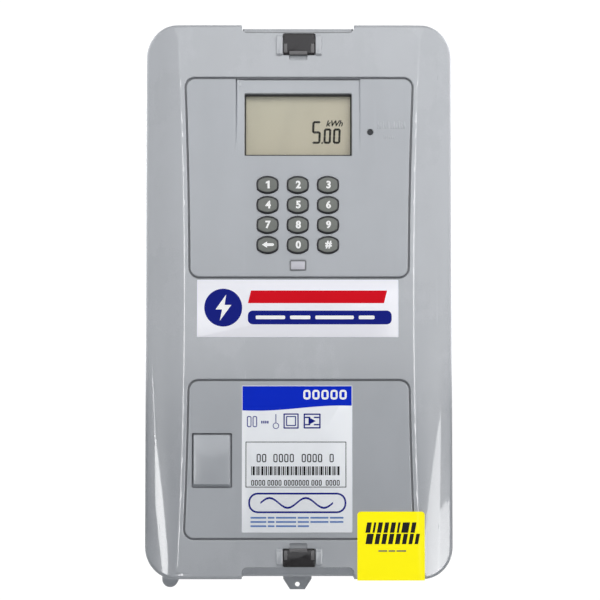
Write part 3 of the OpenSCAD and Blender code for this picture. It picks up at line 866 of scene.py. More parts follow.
def scoop(x, z):
    """Sloping recess round the display, with a concave fillet up its left side."""
    inside = -SCOOP.distance(x, z)
    if inside <= 0 or z < SCOOP_FOOT:
        return 0
    slope = SCOOP_D * (z - SCOOP_FOOT) / (SCOOP_TOP - SCOOP_FOOT)
    from_left = max(0, min(1, (x - SCOOP_X[0]) / SCOOP_FILLET))
    fillet = 1 - 0.55 * (1 - from_left) ** 2
    crease = max(0, 1 - abs(x - SCOOP_X[0] - CREASE) / CREASE)
    return step_down(-inside, slope * fillet, SCOOP_DRAFT) + crease * slope * 0.6


def fascia_front(x, z):
    """Depth of the display panel's front surface."""
    y = FACE + rim(UPPER.distance(x, z), PANEL_EDGE) + scoop(x, z)
    y += rim(-DISPLAY.distance(x, z), DISPLAY_EDGE)
    y += rim(-PULSE.distance(x, z), 0.2) + rim(-STATUS.distance(x, z), 0.2)
    if abs(x) < 22 and z < 60:
        y += max(rim(KEY_CLEAR - barrel.distance(x, z), KEY_EDGE) for barrel in BARRELS.values())
    return y


def fascia_back(x, z):
    """Depth of the display panel's back, with a thicker pad round the display."""
    boss = step_down(BOSS.distance(x, z), DISPLAY_FLOOR - FACE - PANEL_T, 0.2)
    return FACE + PANEL_T + boss


def display_fascia():
    """Upper panel with the display scoop, twelve key holes and two light windows."""
    loops = [UPPER.points(inset) for inset in rim_insets(PANEL_EDGE)]
    loops += [DISPLAY.points(-inset) for inset in rim_insets(DISPLAY_EDGE)]
    loops += [BOSS.points(inset) for inset in (0, 0.1, 0.2)]
    loops += [hole.points(-inset) for hole in (PULSE, STATUS) for inset in rim_insets(0.2)]
    loops += [b.points(-KEY_CLEAR - inset) for b in BARRELS.values() for inset in rim_insets(KEY_EDGE)]
    drafts = [SCOOP_DRAFT * i / 4 for i in range(5)]
    loops += [SCOOP.points(inset) for inset in [-0.1] + drafts + [CREASE, 2 * CREASE]]
    dots = []
    for z in [SCOOP_FOOT + 2.1 * i for i in range(16)]:
        fillet = [SCOOP_X[0] + 0.5 + 0.4 * i for i in range(10)]
        dots += [(x, z) for x in fillet + [0, 10, 20, 24, 26.5] if DISPLAY.distance(x, z) > 0.8]
    dots += [(x, SCOOP_FOOT) for x in range(-27, 27, 3)]

    def keep(x, z):
        holes = [DISPLAY.distance(x, z), PULSE.distance(x, z), STATUS.distance(x, z)]
        holes += [barrel.distance(x, z) - KEY_CLEAR for barrel in BARRELS.values()]
        return UPPER.distance(x, z) < 0 < min(holes)

    shape = Shape().add(relief(loops, dots, keep, fascia_front, fascia_back), PANEL)
    for x in FASCIA_POST_X:
        for z in FASCIA_POST_Z:
            shape.add(tube(x, z, 2.4, 0.95, FACE + 9.6, FACE + PANEL_T - 0.05), PANEL)
    add_pulse_marks(shape)
    window = span("status_window")[0].y
    # A dark ring round the status window: painted shade.
    shape.add(band(STATUS, 0.02, 0.55, window + 0.3, window - 0.12), GAP_SHADE)
    shape.build("display_panel", "meter", "panel_plastic", "display_fascia")


def add_pulse_marks(shape):
    """Two short rows of raised ticks beside the pulse light."""
    x, z = middle("pulse_led")
    rows = [(x + 3.4, z + 3.2, 11, 3.2, 0.62), (x + 6.3, z - 2.3, 6, 1.5, 0.45)]
    for x0, z0, count, height, width in rows:
        for i in range(count):
            tall = height * (1, 0.82, 1, 0.7)[i % 4]
            tick_x, tick_z = x0 + i * width * 1.9, z0 - (height - tall) / 2
            tick = rectangle(tick_x, tick_z, width, tall, 0.12, corner_steps=2)
            shape.add(block(tick, FACE + 0.1, FACE - 0.17, edge=0.12, steps=2), PANEL)


PORT_X, PORT_Z = middle("port_cover")
PORT = rectangle(PORT_X + 0.1, PORT_Z - 0.4, 17.9, 24.3, 0.7)
PORT_DEPTH, PORT_DRAFT = 1.7, 0.2
SOCKET = rectangle(PORT_X, PORT_Z, 9.2, 13.2, 0.3)


def lower_panel():
    """Lower panel with the recess of the service port."""
    loops = [LOWER.points(inset) for inset in rim_insets(PANEL_EDGE)]
    loops += [PORT.points(inset) for inset in step_insets(PORT_DRAFT)] + [SOCKET.points()]
    front = lambda x, z: FACE + rim(LOWER.distance(x, z), PANEL_EDGE) + step_down(
        PORT.distance(x, z), PORT_DEPTH, PORT_DRAFT)
    keep = lambda x, z: LOWER.distance(x, z) < 0 < SOCKET.distance(x, z)
    shape = Shape().add(relief(loops, [], keep, front, lambda x, z: FACE + PANEL_T), PANEL)
    bed = FACE + PORT_DEPTH
    # A dark band at the foot of the port recess: painted shade.
    shape.add(band(PORT, PORT_DRAFT, 0.66, bed + 0.4, bed - 0.04), GAP_SHADE)
    shape.build("service_panel", "meter", "panel_plastic", "lower_panel")


def port_cover():
    """Pull-off plate with a plug stub and a shallow finger edge."""
    low, high = span("port_cover")
    plate = rectangle(PORT_X, PORT_Z, high.x - low.x, high.z - low.z, 0.5)
    stub = rectangle(PORT_X, PORT_Z, 8, 12, 0.5)
    shape = Shape().add(block(plate, FACE + PORT_DEPTH - 0.1, low.y, edge=0.35), PANEL)
    end = [level(stub, 0.4, high.y), level(stub, 0, high.y - 0.4), level(stub, 0, FACE + 1)]
    shape.add(stack(end), PANEL)
    shape.build("port_plate", "port_cover_piece", "cover_plastic", "port_cover")


# ---------- Keys and their legends ----------


def legend(text, x, z, height, front, bold=0.0, slant=0.0):
    """Characters as a thin raised solid, centred at x and z."""
    curve = bpy.data.curves.new("legend_" + str(len(bpy.data.curves)), "FONT")
    curve.body = text
    curve.offset, curve.shear, curve.extrude = bold, slant, 0
    curve.resolution_u = 5
    letters = placed("letters", curve)
    bpy.context.view_layer.update()
    flat = bpy.data.meshes.new_from_object(letters.evaluated_get(bpy.context.evaluated_depsgraph_get()))
    spots = [v.co for v in flat.vertices]
    left, right = min(v.x for v in spots), max(v.x for v in spots)
    foot, head = min(v.y for v in spots), max(v.y for v in spots)
    scale = height / (head - foot)
    count = len(spots)
    place = lambda v, y: (x + (v.x - (left + right) / 2) * scale, y, z + (v.y - (foot + head) / 2) * scale)
    verts = [place(v, front) for v in spots] + [place(v, front + INK) for v in spots]
    faces, owner = [], set()
    for polygon in flat.polygons:
        face = list(polygon.vertices)
        if polygon.normal.z < 0:
            face.reverse()
        faces += [face, [i + count for i in reversed(face)]]
        owner |= set(zip(face, face[1:] + face[:1]))
    faces += [[a, a + count, b + count, b] for a, b in sorted(owner) if (b, a) not in owner]
    bpy.data.objects.remove(letters)
    return verts, faces


def prism(points, back, front):
    """A flat print or tick: a thin solid from a list of points, anticlockwise from the front."""
    return stack([[(x, back, z) for x, z in points], [(x, front, z) for x, z in points]])


def arrow(x, z, front):
    """Left arrow of the backspace key."""
    half, head, shaft = 2.7, 2.3, 0.6
    points = [(-half, 0), (-half + head, -1.4), (-half + head, -shaft)]
    points += arc(half - shaft, 0, shaft, -math.pi / 2, math.pi / 2, 6)
    points += [(-half + head, shaft), (-half + head, 1.4)]
    return prism([(x + px, z + pz) for px, pz in points], front + INK, front)


def one(x, z, front):
    """The figure 1 of its key: a stem with a flag."""
    points = [(-0.2, -1.72), (0.72, -1.72), (0.72, 1.72), (0.02, 1.72)]
    points += [(-1.0, 1.15), (-1.0, 0.35), (-0.2, 0.75)]
    return prism([(x + px, z + pz) for px, pz in points], front + INK, front)


RIM_PROFILE = ((0, 0.75), (0.06, 0.4), (0.2, 0.15), (0.42, 0.06))
CROWN_PROFILE = ((0.42, 0.2), (0.5, 0.09), (0.62, 0.02), (0.85, 0))
LEGEND_H = 3.45


def keys():
    """Twelve rubber keys: grey crown, near-black rim, white legend."""
    for node, barrel in BARRELS.items():
        low, high = span(node)
        front = low.y
        edge = [level(barrel, inset, front + y) for inset, y in RIM_PROFILE]
        shape = Shape().add(stack([level(barrel, 0, high.y)] + edge), KEY_RIM)
        shape.add(stack([level(barrel, inset, front + y - 0.02) for inset, y in CROWN_PROFILE]), KEY_FACE)
        x, z = barrel.centre
        flange = rectangle(x, z, high.x - low.x, 4, 0.3)
        shape.add(block(flange, FACE + PANEL_T + 1.1, FACE + PANEL_T + 0.3, edge=0.1), KEY_RIM)
        mark = "#" if node == "key_hash" else node[-1]
        face_y = front - 0.02 - INK
        drawn = {"key_back": arrow, "key_1": one}.get(node)
        if drawn:
            shape.add(drawn(x + 0.2, z + 0.1, face_y), WHITE_INK)
        else:
            shape.add(legend(mark, x + 0.25, z + 0.1, LEGEND_H, face_y, bold=0.04), WHITE_INK)
        shape.build(node + "_button", node + "_cap", "key_grey", node)


# ---------- Display ----------

SEGMENTS = {"5": "afgcd", "0": "abcdef"}
READING = (("5", 5.6, 3.95, 10.2), ("0", 10.85, 3.35, 6.9), ("0", 15.05, 3.35, 6.9))


def digit(symbol, left, foot, width, height, stroke, lean, y):
    """A seven-segment digit: pointed bars with small gaps, leaning to the right."""
    half, mid, gap = stroke / 2, height / 2, 0.12
    right, top = width - half, height - half
    spots = {"a": ((half, top), (right, top)), "b": ((right, mid), (right, top)),
             "c": ((right, half), (right, mid)), "d": ((half, half), (right, half)),
             "e": ((half, half), (half, mid)), "f": ((half, mid), (half, top)),
             "g": ((half, mid), (right, mid))}
    bars = []
    for name in SEGMENTS[symbol]:
        ends = [Vector(p) for p in spots[name]]
        along = (ends[1] - ends[0]).normalized()
        side = Vector((-along.y, along.x)) * half
        short = [gap if p.y == mid else -0.5 * half for p in ends]
        start, end = ends[0] + along * short[0], ends[1] - along * short[1]
        tip = along * half
        points = [start, start + tip - side, end - tip - side, end, end - tip + side, start + tip + side]
        lift = 0.006 if name in "bcef" else 0
        bars.append(prism([(left + p.x + lean * p.y, foot + p.y) for p in points], y + INK, y + lift))
    return bars


def display():
    """The reading on the glass: 5.00 kWh."""
    front = span("lcd_glass")[0].y - INK
    foot = DISPLAY_Z - 8.0
    point = [(9.95, foot), (10.65, foot), (10.75, foot + 0.8), (10.05, foot + 0.8)]
    solids = []
    for symbol, left, width, height in READING:
        solids += digit(symbol, left, foot, width, height, 1.0, 0.04, front)
    solids += [prism(point, front + INK, front),
               legend("kWh", 15.85, DISPLAY_Z + 1.15, 2.75, front, bold=0.03, slant=0.3)]
    shape = Shape()
    for solid in solids:
        shape.add(solid, SEGMENT)
    shape.build("display_segments", "meter", "display_glass")


def display_gasket():
    """Black liner round the inside of the window, widest at the top: painted shadow on the window's walls,
    darkest under its top edge.
    """
    (x0, x1), (z0, z1) = [(c - h, c + h) for c, h in zip(DISPLAY.centre, DISPLAY.half)]
    inner = Outline((x0 + 0.55, z0 + 0.75), (x1 - 0.6, z1 - 0.9), 0.4, corner_steps=4)
    front, back = DISPLAY_FLOOR - 0.9, DISPLAY_FLOOR - 0.02
    walls = ring(lambda y: level(DISPLAY, 0.05, y), lambda y: level(inner, 0, y), back, front)
    shape = Shape().add(walls, RUBBER)
    shape.build("display_gasket", "meter", "rubber_black")


# ---------- Labels ----------


def sheet_label(name, node, finish):
    """A label's own sheet, a little thinner at its edge. Returns its box and the face for print."""
    low, high = span(node)
    x, z = middle(node)
    outline = rectangle(x, z, high.x - low.x, high.z - low.z, 0.4)
    shape = Shape().add(block(outline, high.y, low.y, edge=0.08, steps=2), finish)
    shape.build(name, "meter", "label_white", node)
    return low, high, low.y - INK


def bar(x0, z0, x1, z1, y, radius=0.0, lean=0.0):
    """A printed bar between two corners, with its ends leaning or rounded."""
    if radius:
        outline = Outline((x0, z0), (x1, z1), radius, corner_steps=6)
        points = outline.points()
    else:
        points = [(x0, z0), (x1, z0), (x1, z1), (x0, z1)]
    return prism([(x + lean * (z - z0), z) for x, z in points], y + INK, y)


def loop_line(outline, width, y):
    """A printed line round an outline."""
    return band(outline, 0, width, y + INK, y)


def words(left, z, height, lengths, y, gap=0.9, radius=0.2):
    """Placeholder lettering: a row of bars as long as words."""
    bars, x = [], left
    for length in lengths:
        bars.append(bar(x, z, x + length, z + height, y, radius=min(radius, height / 2.2)))
        x += length + gap
    return bars


def brand_label():
    """White front label with a plain round badge, one red band, and a deep blue band with four white word
    bars.
    """
    low, high, y = sheet_label("front_label", "brand_label", BRIGHT_PAPER)
    z = middle("brand_label")[1]
    left = low.x
    badge_x, badge_z = left + 11.6, z + 0.4
    shape = Shape().add(prism(Disc(badge_x, badge_z, 8.4, 48).points(), y + INK, y), DEEP_BLUE_INK)
    bolt = [(1.3, 5.8), (-3.4, -0.8), (-0.5, -0.8), (-1.5, -5.8), (3.6, 1.2), (0.6, 1.2)]
    shape.add(prism([(badge_x + px, badge_z + pz) for px, pz in bolt], y, y - INK / 2), WHITE_INK)
    shape.add(bar(left + 22.5, z + 2.4, high.x - 6.4, z + 8, y, lean=0.25), RED_INK)
    shape.add(bar(left + 22.5, z - 7, high.x - 3, z - 0.9, y, radius=2.2), DEEP_BLUE_INK)
    for solid in words(left + 26, z - 4.7, 1.6, (13, 9, 17, 7), y - INK / 2, gap=2.2, radius=0.5):
        shape.add(solid, WHITE_INK)
    shape.build("front_label_print", "meter", "label_white")


def cells(left, foot, width, height, line, starts, y):
    """Placeholder figures: small hollow cells whose left edges are starts."""
    x, z = left + width / 2, foot + height / 2
    boxes = [rectangle(x + start, z, width, height, 0.35 * width, 2) for start in starts]
    return [loop_line(box, line, y) for box in boxes]


def runs(pitch, *groups):
    """Left edges of the cells in groups of (start, count)."""
    return [start + pitch * i for start, count in groups for i in range(count)]


def rating_label():
    """Service label: blue head, a row of symbols, a ruled box with stripes, blue and pale lines."""
    low, high, y = sheet_label("service_label", "rating_label", PAPER)
    left, right, top = low.x + 0.25, high.x - 0.25, high.z - 0.25
    shape = Shape()
    shares = [i / 24 for i in range(25)]
    swell = [(left + (right - left) * t, top - 9.7 - 1.15 * math.cos(4.05 * (t - 0.13))) for t in shares]
    shape.add(prism(swell + [(right, top), (left, top)], y + INK, y), BLUE_INK)
    middle_z = top - 15.6
    for solid in cells(right - 21.4, top - 5.9, 3.2, 4.3, 0.9, runs(4, (0, 5)), y - INK / 2):
        shape.add(solid, WHITE_INK)
    signs = cells(left, middle_z - 2.5, 2, 4.9, 0.4, (2, 4.5), y)
    signs += words(left + 8.3, middle_z - 0.9, 1.2, (0.6,) * 4, y, gap=0.28)
    signs += [loop_line(Disc(left + 14.8, middle_z - 1.9, 1.4, 20), 0.32, y)]
    signs += [bar(left + 14.62, middle_z - 0.5, left + 14.98, middle_z + 3.2, y)]
    signs += [loop_line(rectangle(left + 21.5, middle_z + 0.2, 6.7, 6.7, 0.3), 0.55, y)]
    signs += [loop_line(rectangle(left + 21.5, middle_z + 0.2, 4.4, 4.4, 0.3), 0.45, y)]
    signs += [loop_line(rectangle(left + 30.8, middle_z + 0.2, 7.5, 6.6, 0.3), 0.6, y)]
    wedge = [(left + 29.2, middle_z - 1.5), (left + 32.4, middle_z + 0.2), (left + 29.2, middle_z + 1.9)]
    signs += [prism(wedge, y + INK, y)]
    for x0, dz in ((27.7, 1.5), (27.7, -1.7), (31.6, 1.5), (31.6, -1.7)):
        signs += [bar(left + x0, middle_z + dz, left + x0 + 2.3, middle_z + dz + 0.6, y)]
    for solid in signs:
        shape.add(solid, DEEP_BLUE_INK)
    box = Outline((left + 1.4, top - 44.7), (right - 2.4, top - 24.5), 0.1, corner_steps=2)
    shape.add(loop_line(box, 0.35, y), BLACK_INK)
    figures = runs(2.4, (6.3, 2), (13.7, 4), (26.2, 4), (38.5, 1))
    for solid in cells(left, top - 33.6, 1.85, 3.7, 0.48, figures, y):
        shape.add(solid, BLACK_INK)
    add_stripes(shape, left + 3.9, top - 39.3, 38.8, 3.9, y)
    small = runs(1.62, (3.9, 4), (11.1, 4), (18.4, 7), (30.5, 3), (36.8, 4))
    for solid in cells(left, top - 43.9, 1.3, 2.5, 0.4, small, y):
        shape.add(solid, BLACK_INK)
    badge = Outline((left + 2.6, top - 56), (right - 2.4, top - 47), 4.2)
    shape.add(loop_line(badge, 0.8, y), DEEP_BLUE_INK)
    ripple = [(left + 8 + 32 * t, top - 51.5 + 2.2 * math.sin(4 * math.pi * t)) for t in shares]
    thick = [(px, pz - 0.45) for px, pz in ripple] + [(px, pz + 0.45) for px, pz in reversed(ripple)]
    shape.add(prism(thick, y + INK, y), DEEP_BLUE_INK)
    for i in range(3):
        foot = top - 58.4 - i * 1.85
        for solid in words(left + 3.6, foot, 0.75, (7, 3, 9, 5, 8, 6)[:6 - 2 * (i == 2)], y, gap=0.6):
            shape.add(solid, PALE_BLUE_INK)
    shape.build("service_label_print", "meter", "label_white")


def add_stripes(shape, left, foot, length, height, y):
    """A row of stripes whose widths and gaps take turns; they stand for no number."""
    x, i = left, 0
    while x < left + length:
        width = (0.34, 0.95, 0.3, 0.62)[i % 4]
        shape.add(bar(x, foot, x + width, foot + height, y), BLACK_INK)
        x += width + (0.3, 0.48, 0.36)[i % 3]
        i += 1


def corner_label():
    """Yellow corner label, folded over the ridge, whose foot hangs just past the lower edge."""
    low, high = span("corner_label")
    foot = low.z - 0.9
    outline = Outline((low.x, foot - 2), (high.x, high.z), 1.6, step=2)
    dots = [(low.x + 1.2 * i, low.z + 1.2 * k) for i in range(1, 25) for k in range(1, 24)]
    dots = [p for p in dots if outline.distance(*p) < -0.6 and p[1] > foot + 0.3]
    ground = lambda x, z: FACE + wing(x, z)
    front = lambda x, z: ground(x, z) - 0.25
    keep = lambda x, z: outline.distance(x, z) < 0 and z > foot
    loops = [clip(outline.points(inset), foot, high.z) for inset in (0, 0.3)]
    shape = Shape().add(relief(loops, dots, keep, front, ground), YELLOW)
    shape.build("corner_sticker", "meter", "label_yellow", "corner_label")
    y = FACE - 0.25 - INK
    rows = ((high.z - 9.3, (2.1, 1.0, 1.9, 1.8, 2.0, 1.0, 3.1, 1.9)),
            (high.z - 14.3, (3.0, 2.0, 2.0, 2.0, 2.1, 1.9, 1.7, 1.6)))
    shape = Shape()
    for z, lengths in rows:
        start = low.x + 3.5
        for length in lengths:
            shape.add(bar(start, z, start + length, z + 4.6, y, lean=0.18), BLACK_INK)
            start += length + 1.0
    for solid in words(low.x + 9.2, high.z - 17.6, 0.6, (4, 3, 4.4), y, gap=0.5, radius=0.2):
        shape.add(solid, GREY_INK)
    shape.build("corner_sticker_print", "meter", "label_yellow")


# ---------- Seal caps ----------


def seal_cap(side, node, body):
    """Smoked cap: a thin cup, open behind, with a finger lip and two thicker flanks."""
    low, high = span(node)
    z0, z1 = sorted((low.z * side, high.z * side))
    outer = latch_box(side, low.x, high.x, z0, z1, 0.7)
    inner = latch_box(side, low.x + 1.1, high.x - 1.1, z0 + 1.1, z1 - 1.1, 0.4)
    front, ceiling = low.y, low.y + 1.2
    loops = [level(inner, 0, ceiling), level(inner, 0, high.y), level(outer, 0, high.y)]
    shape = Shape().add(stack(loops + rounded(outer, front, 0.6, 4)), SMOKE)
    lip = latch_box(side, -4.4, 3.6, z0 - 0.2, z0 + 1.5, 0.3)
    shape.add(block(lip, front + 1, front - 0.15, edge=0.15), SMOKE_LIGHT)
    for left in (low.x + 0.25, high.x - 1.75):
        flank = latch_box(side, left, left + 1.5, z0 + 0.7, z0 + 4.8, 0.25)
        shape.add(block(flank, front + 0.6, front - 0.08, edge=0.1), SMOKE_LIGHT)
    shape.build(node + "_cup", body, "smoked_plastic", node)


# ---------- Screws ----------


def screw_template(head_r, head_t, shank_r, shank, slotted):
    """A screw at the origin, its head towards -Y: domed head with a recess, threaded shank."""
    disc = Disc(0, 0, head_r, 20)
    recess = [rectangle(0, 0, head_r * 1.5, head_r * 0.3, 0.05, 2)]
    if not slotted:
        recess.append(rectangle(0, 0, head_r * 0.3, head_r * 1.5, 0.05, 2))
    dome = 0.25 * head_t

    def front(x, z):
        crown = dome * (math.hypot(x, z) / head_r) ** 2
        cut = max(step_down(r.distance(x, z), head_t * 0.5, 0.12) for r in recess)
        return -head_t + crown + rim(disc.distance(x, z), head_t * 0.3) * 0.8 + cut

    loops = [disc.points(inset) for inset in (0, head_t * 0.05, head_t * 0.15, head_t * 0.3)]
    loops += [r.points(inset) for r in recess for inset in (0, 0.06, 0.12)]
    shape = Shape()
    shape.add(relief(loops, [], lambda x, z: disc.distance(x, z) < 0, front, lambda x, z: 0), ZINC)
    turns = int(shank / 0.8)
    profile = [(shank_r * 0.6, shank)]
    profile += [(shank_r * (1 if i % 2 else 0.8), shank - 0.4 - i * 0.4) for i in range(2 * turns - 1)]
    profile.append((shank_r, -0.05))
    shape.add(stack([level(Disc(0, 0, r, 14), 0, y) for r, y in profile]), ZINC)
    return placed("screw_template", shape.mesh("screw_template", 35))


def screw_tree():
    """Geometry Nodes: one screw on every point, each turned by its own seeded angle."""
    tree = bpy.data.node_groups.new("screws_on_points", "GeometryNodeTree")
    io = tree.interface
    sockets = {"Places": "Geometry", "Screw": "Object", "Largest Turn": "Float", "Seed": "Int",
               "Finish": "Material"}
    for label, kind in sockets.items():
        io.new_socket(label, in_out="INPUT", socket_type="NodeSocket" + kind)
    io.new_socket("Screws", in_out="OUTPUT", socket_type="NodeSocketGeometry")
    node = tree.nodes.new
    given, made = node("NodeGroupInput"), node("NodeGroupOutput")
    info, turn = node("GeometryNodeObjectInfo"), node("FunctionNodeRandomValue")
    combine, place = node("ShaderNodeCombineXYZ"), node("GeometryNodeInstanceOnPoints")
    real, dress = node("GeometryNodeRealizeInstances"), node("GeometryNodeSetMaterial")
    turn.data_type = "FLOAT"
    turn_in = {s.identifier: s for s in turn.inputs}
    turn_out = {s.identifier: s for s in turn.outputs}
    join = tree.links.new
    join(given.outputs["Screw"], info.inputs["Object"])
    join(given.outputs["Largest Turn"], turn_in["Max_001"])
    join(given.outputs["Seed"], turn_in["Seed"])
    join(turn_out["Value_001"], combine.inputs["Y"])
    join(given.outputs["Places"], place.inputs["Points"])
    join(info.outputs["Geometry"], place.inputs["Instance"])
    join(combine.outputs[0], place.inputs["Rotation"])
    join(place.outputs[0], real.inputs[0])
    join(real.outputs[0], dress.inputs["Geometry"])
    join(given.outputs["Finish"], dress.inputs["Material"])
    join(dress.outputs[0], made.inputs["Screws"])
    return tree


SCREW_TREE = screw_tree()


def spread(start, length, count):
    """Evenly spaced places along a length."""
    return [start + length * i / max(1, count - 1) for i in range(count)]


def screws(name, node, body, columns, rows, sizes, seed, front_heads=True, slotted=False):
    """Screws on the grid that fills a CAD node's box.

    sizes are the head's radius and height and the shank's radius and length.
    """
    low, high = span(node)
    head_r, head_t, shank_r, shank = sizes
    xs = spread(low.x + head_r, high.x - low.x - 2 * head_r, columns)
    zs = spread(low.z + head_r, high.z - low.z - 2 * head_r, rows)
    seat = low.y + head_t if front_heads else high.y - head_t
    spots = [(x * MM, seat * MM, z * MM) for x in xs for z in zs]
    template = screw_template(head_r, head_t, shank_r, shank, slotted)
    if not front_heads:
        for vertex in template.data.vertices:
            vertex.co.y, vertex.co.x = -vertex.co.y, -vertex.co.x
    mesh = bpy.data.meshes.new(name)
    mesh.from_pydata(spots, [], [])
    base = placed(name + "_places", mesh)
    modifier = base.modifiers.new("screws", "NODES")
    modifier.node_group = SCREW_TREE
    given = {"Screw": template, "Largest Turn": math.pi, "Seed": seed, "Finish": ZINC}
    for socket in SCREW_TREE.interface.items_tree:
        if socket.name in given:
            modifier[socket.identifier] = given[socket.name]
    bpy.context.view_layer.update()
    result = bpy.data.meshes.new_from_object(base.evaluated_get(bpy.context.evaluated_depsgraph_get()))
    result.name = name
    base.modifiers.clear()
    bpy.data.objects.remove(base)
    bpy.data.objects.remove(template)
    enrol(placed(name, result), body, "zinc_steel", node)


# ---------- Plain CAD nodes, with rounded edges or only a finish ----------


def coat(mesh, finish):
    """One finish on the whole of a mesh."""
    mesh.materials.clear()
    mesh.materials.append(finish)
    mesh.polygons.foreach_set("material_index", [0] * len(mesh.polygons))


def edged(node, body, slot, finish, width):
    """A merged copy of a CAD node with rounded edges, which stands for it."""
    work = bmesh.new()
    work.from_mesh(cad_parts[node].data)
    bmesh.ops.remove_doubles(work, verts=work.verts, dist=1e-6)
    bmesh.ops.dissolve_limit(work, angle_limit=math.radians(0.6), verts=work.verts, edges=work.edges)
    sharp = [e for e in work.edges if len(e.link_faces) == 2 and e.calc_face_angle(0) > math.radians(40)
             and e.calc_length() > width * MM]
    bmesh.ops.bevel(work, geom=sharp, offset=width * MM, segments=2, profile=0.5, affect="EDGES",
                    clamp_overlap=True)
    mesh = bpy.data.meshes.new(node + "_moulding")
    work.to_mesh(mesh)
    work.free()
    coat(mesh, finish)
    mesh.shade_smooth()
    mesh.set_sharp_from_angle(angle=math.radians(32))
    enrol(placed(mesh.name, mesh), body, slot, node)


# ---------- All the pieces ----------

front_cover()
display_fascia()
lower_panel()
port_cover()
keys()
display()
display_gasket()
brand_label()
rating_label()
corner_label()
seal_cap(1, "seal_cap_top", "seal_cap_top_piece")
seal_cap(-1, "seal_cap_bottom", "seal_cap_bottom_piece")

screws("terminal_clamp_screws", "terminal_screws", "wall_base", 4, 2, (3, 2.1, 2.4, 2), 1, slotted=True)
screws("cover_fixing_screws", "housing_screws", "meter", 2, 2, (3, 1.2, 1.35, 12), 2, front_heads=False)
screws("main_board_screws", "board_screws", "meter", 2, 2, (2.4, 1.4, 1, 5), 3)
screws("display_board_screws", "display_screws", "meter", 2, 2, (2, 1.2, 0.9, 6), 4, front_heads=False)
screws("meter_retaining_screws", "retaining_screws", "meter", 1, 2, (3.4, 2.4, 1.95, 46), 5)

EDGED = (
    ("base_plate", "wall_base", "base_plastic", BASE, 0.45),
    ("rear_housing", "meter", "cover_plastic", BASE, 0.3),
    ("terminal_block", "wall_base", "terminal_ivory", IVORY, 0.3),
    ("terminal_clamps", "wall_base", "brass", BRASS, 0.25),
    ("contact_jaws", "wall_base", "copper", COPPER, 0.12),
    ("contact_blades", "meter", "brass", BRASS, 0.25),
    ("cable_grommets", "wall_base", "rubber_black", RUBBER, 0.3),
    ("lcd_bezel", "meter", "black_plastic", BLACK, 0.2),
    ("latching_relay", "meter", "black_plastic", BLACK, 0.4),
    ("transformer", "meter", "winding", WINDING, 0.5),
    ("status_window", "meter", "diffuser", DIFFUSER, 0.12),
    ("keypad_mat", "meter", "rubber_black", RUBBER, 0.3),
    ("port_socket", "meter", "black_plastic", BLACK, 0.2),
)
PAINTED = {
    "screw_inserts": BRASS, "rim_gasket": RUBBER, "lcd_window": CLEAR, "lcd_glass": FILM,
    "lcd_backlight": PAPER, "zebra_strips": BLACK, "buzzer": BLACK, "board_chips": BLACK,
    "display_board": BOARD, "main_board": BOARD, "status_led": DIFFUSER, "pulse_led": RED_LENS,
    "relay_busbars": COPPER, "current_shunt": SHUNT, "mains_capacitor": FILM_YELLOW,
    "electrolytic_capacitors": SLEEVE, "varistor": DISC_BLUE, "battery": ZINC,
    "board_connector": IVORY, "ribbon_cable": PAPER,
}
for row in EDGED:
    edged(*row)
for node, finish in PAINTED.items():
    coat(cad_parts[node].data, finish)


# ---------- Studio ----------

SKY_DIM = 0.22
KEY_GLOW = 4.3
VIEW_DISTANCE = 1.1
VIEW_DROP = math.radians(2.6)
VIEW_TURN = math.radians(0.4)
VIEW_WIDTH = 0.2658
VIEW_CENTRE = Vector((0.4 * MM, FACE * MM, 0.3 * MM))
FLOOR_HALF, FLOOR_BACK, FLOOR_Z = 8, 3.5, -0.45
LEFT_EDGE, RIGHT_EDGE = (-0.062, -0.056, -0.08), (0.062, -0.056, -0.08)
SOFTBOXES = (
    ("left_wedge", (-0.794, -0.361, -0.126), LEFT_EDGE, (0.227, 0.06), 11, (0.139, -0.323, 0.936)),
    ("left_thread", (-0.833, -0.269, -0.042), LEFT_EDGE, (0.011, 0.05), 9, (-0.0056, 0.02, 0.044)),
    ("right_wedge", (0.7655, -0.406, -0.2086), RIGHT_EDGE, (0.319, 0.26), 6.5, (-0.124, -0.225, 0.966)),
    ("right_foot", (0.853, -0.174, -0.178), RIGHT_EDGE, (0.237, 0.13), 6.5),
    ("left_ridge", (-0.40, -1.0, -0.01), LEFT_EDGE, (0.15, 0.40), 9),
    ("right_ridge", (0.40, -1.0, -0.01), RIGHT_EDGE, (0.15, 0.40), 9),
    ("corner_glint", (-0.5, -0.45, -0.6), LEFT_EDGE, (0.12, 0.12), 10),
)


def camera():
    """A long lens a little below the middle of the meter, looking slightly up."""
    lens = bpy.data.cameras.new("studio_camera")
    lens.sensor_width = 36
    lens.lens = 36 * VIEW_DISTANCE / VIEW_WIDTH
    lens.clip_start, lens.clip_end = 0.01, 50
    holder = placed("studio_camera", lens)
    flat = math.cos(VIEW_DROP)
    back = Vector((-math.sin(VIEW_TURN) * flat, -math.cos(VIEW_TURN) * flat, -math.sin(VIEW_DROP)))
    holder.location = VIEW_CENTRE + back * VIEW_DISTANCE
    holder.rotation_euler = (-back).to_track_quat("-Z", "Y").to_euler()
    bpy.context.scene.camera = holder


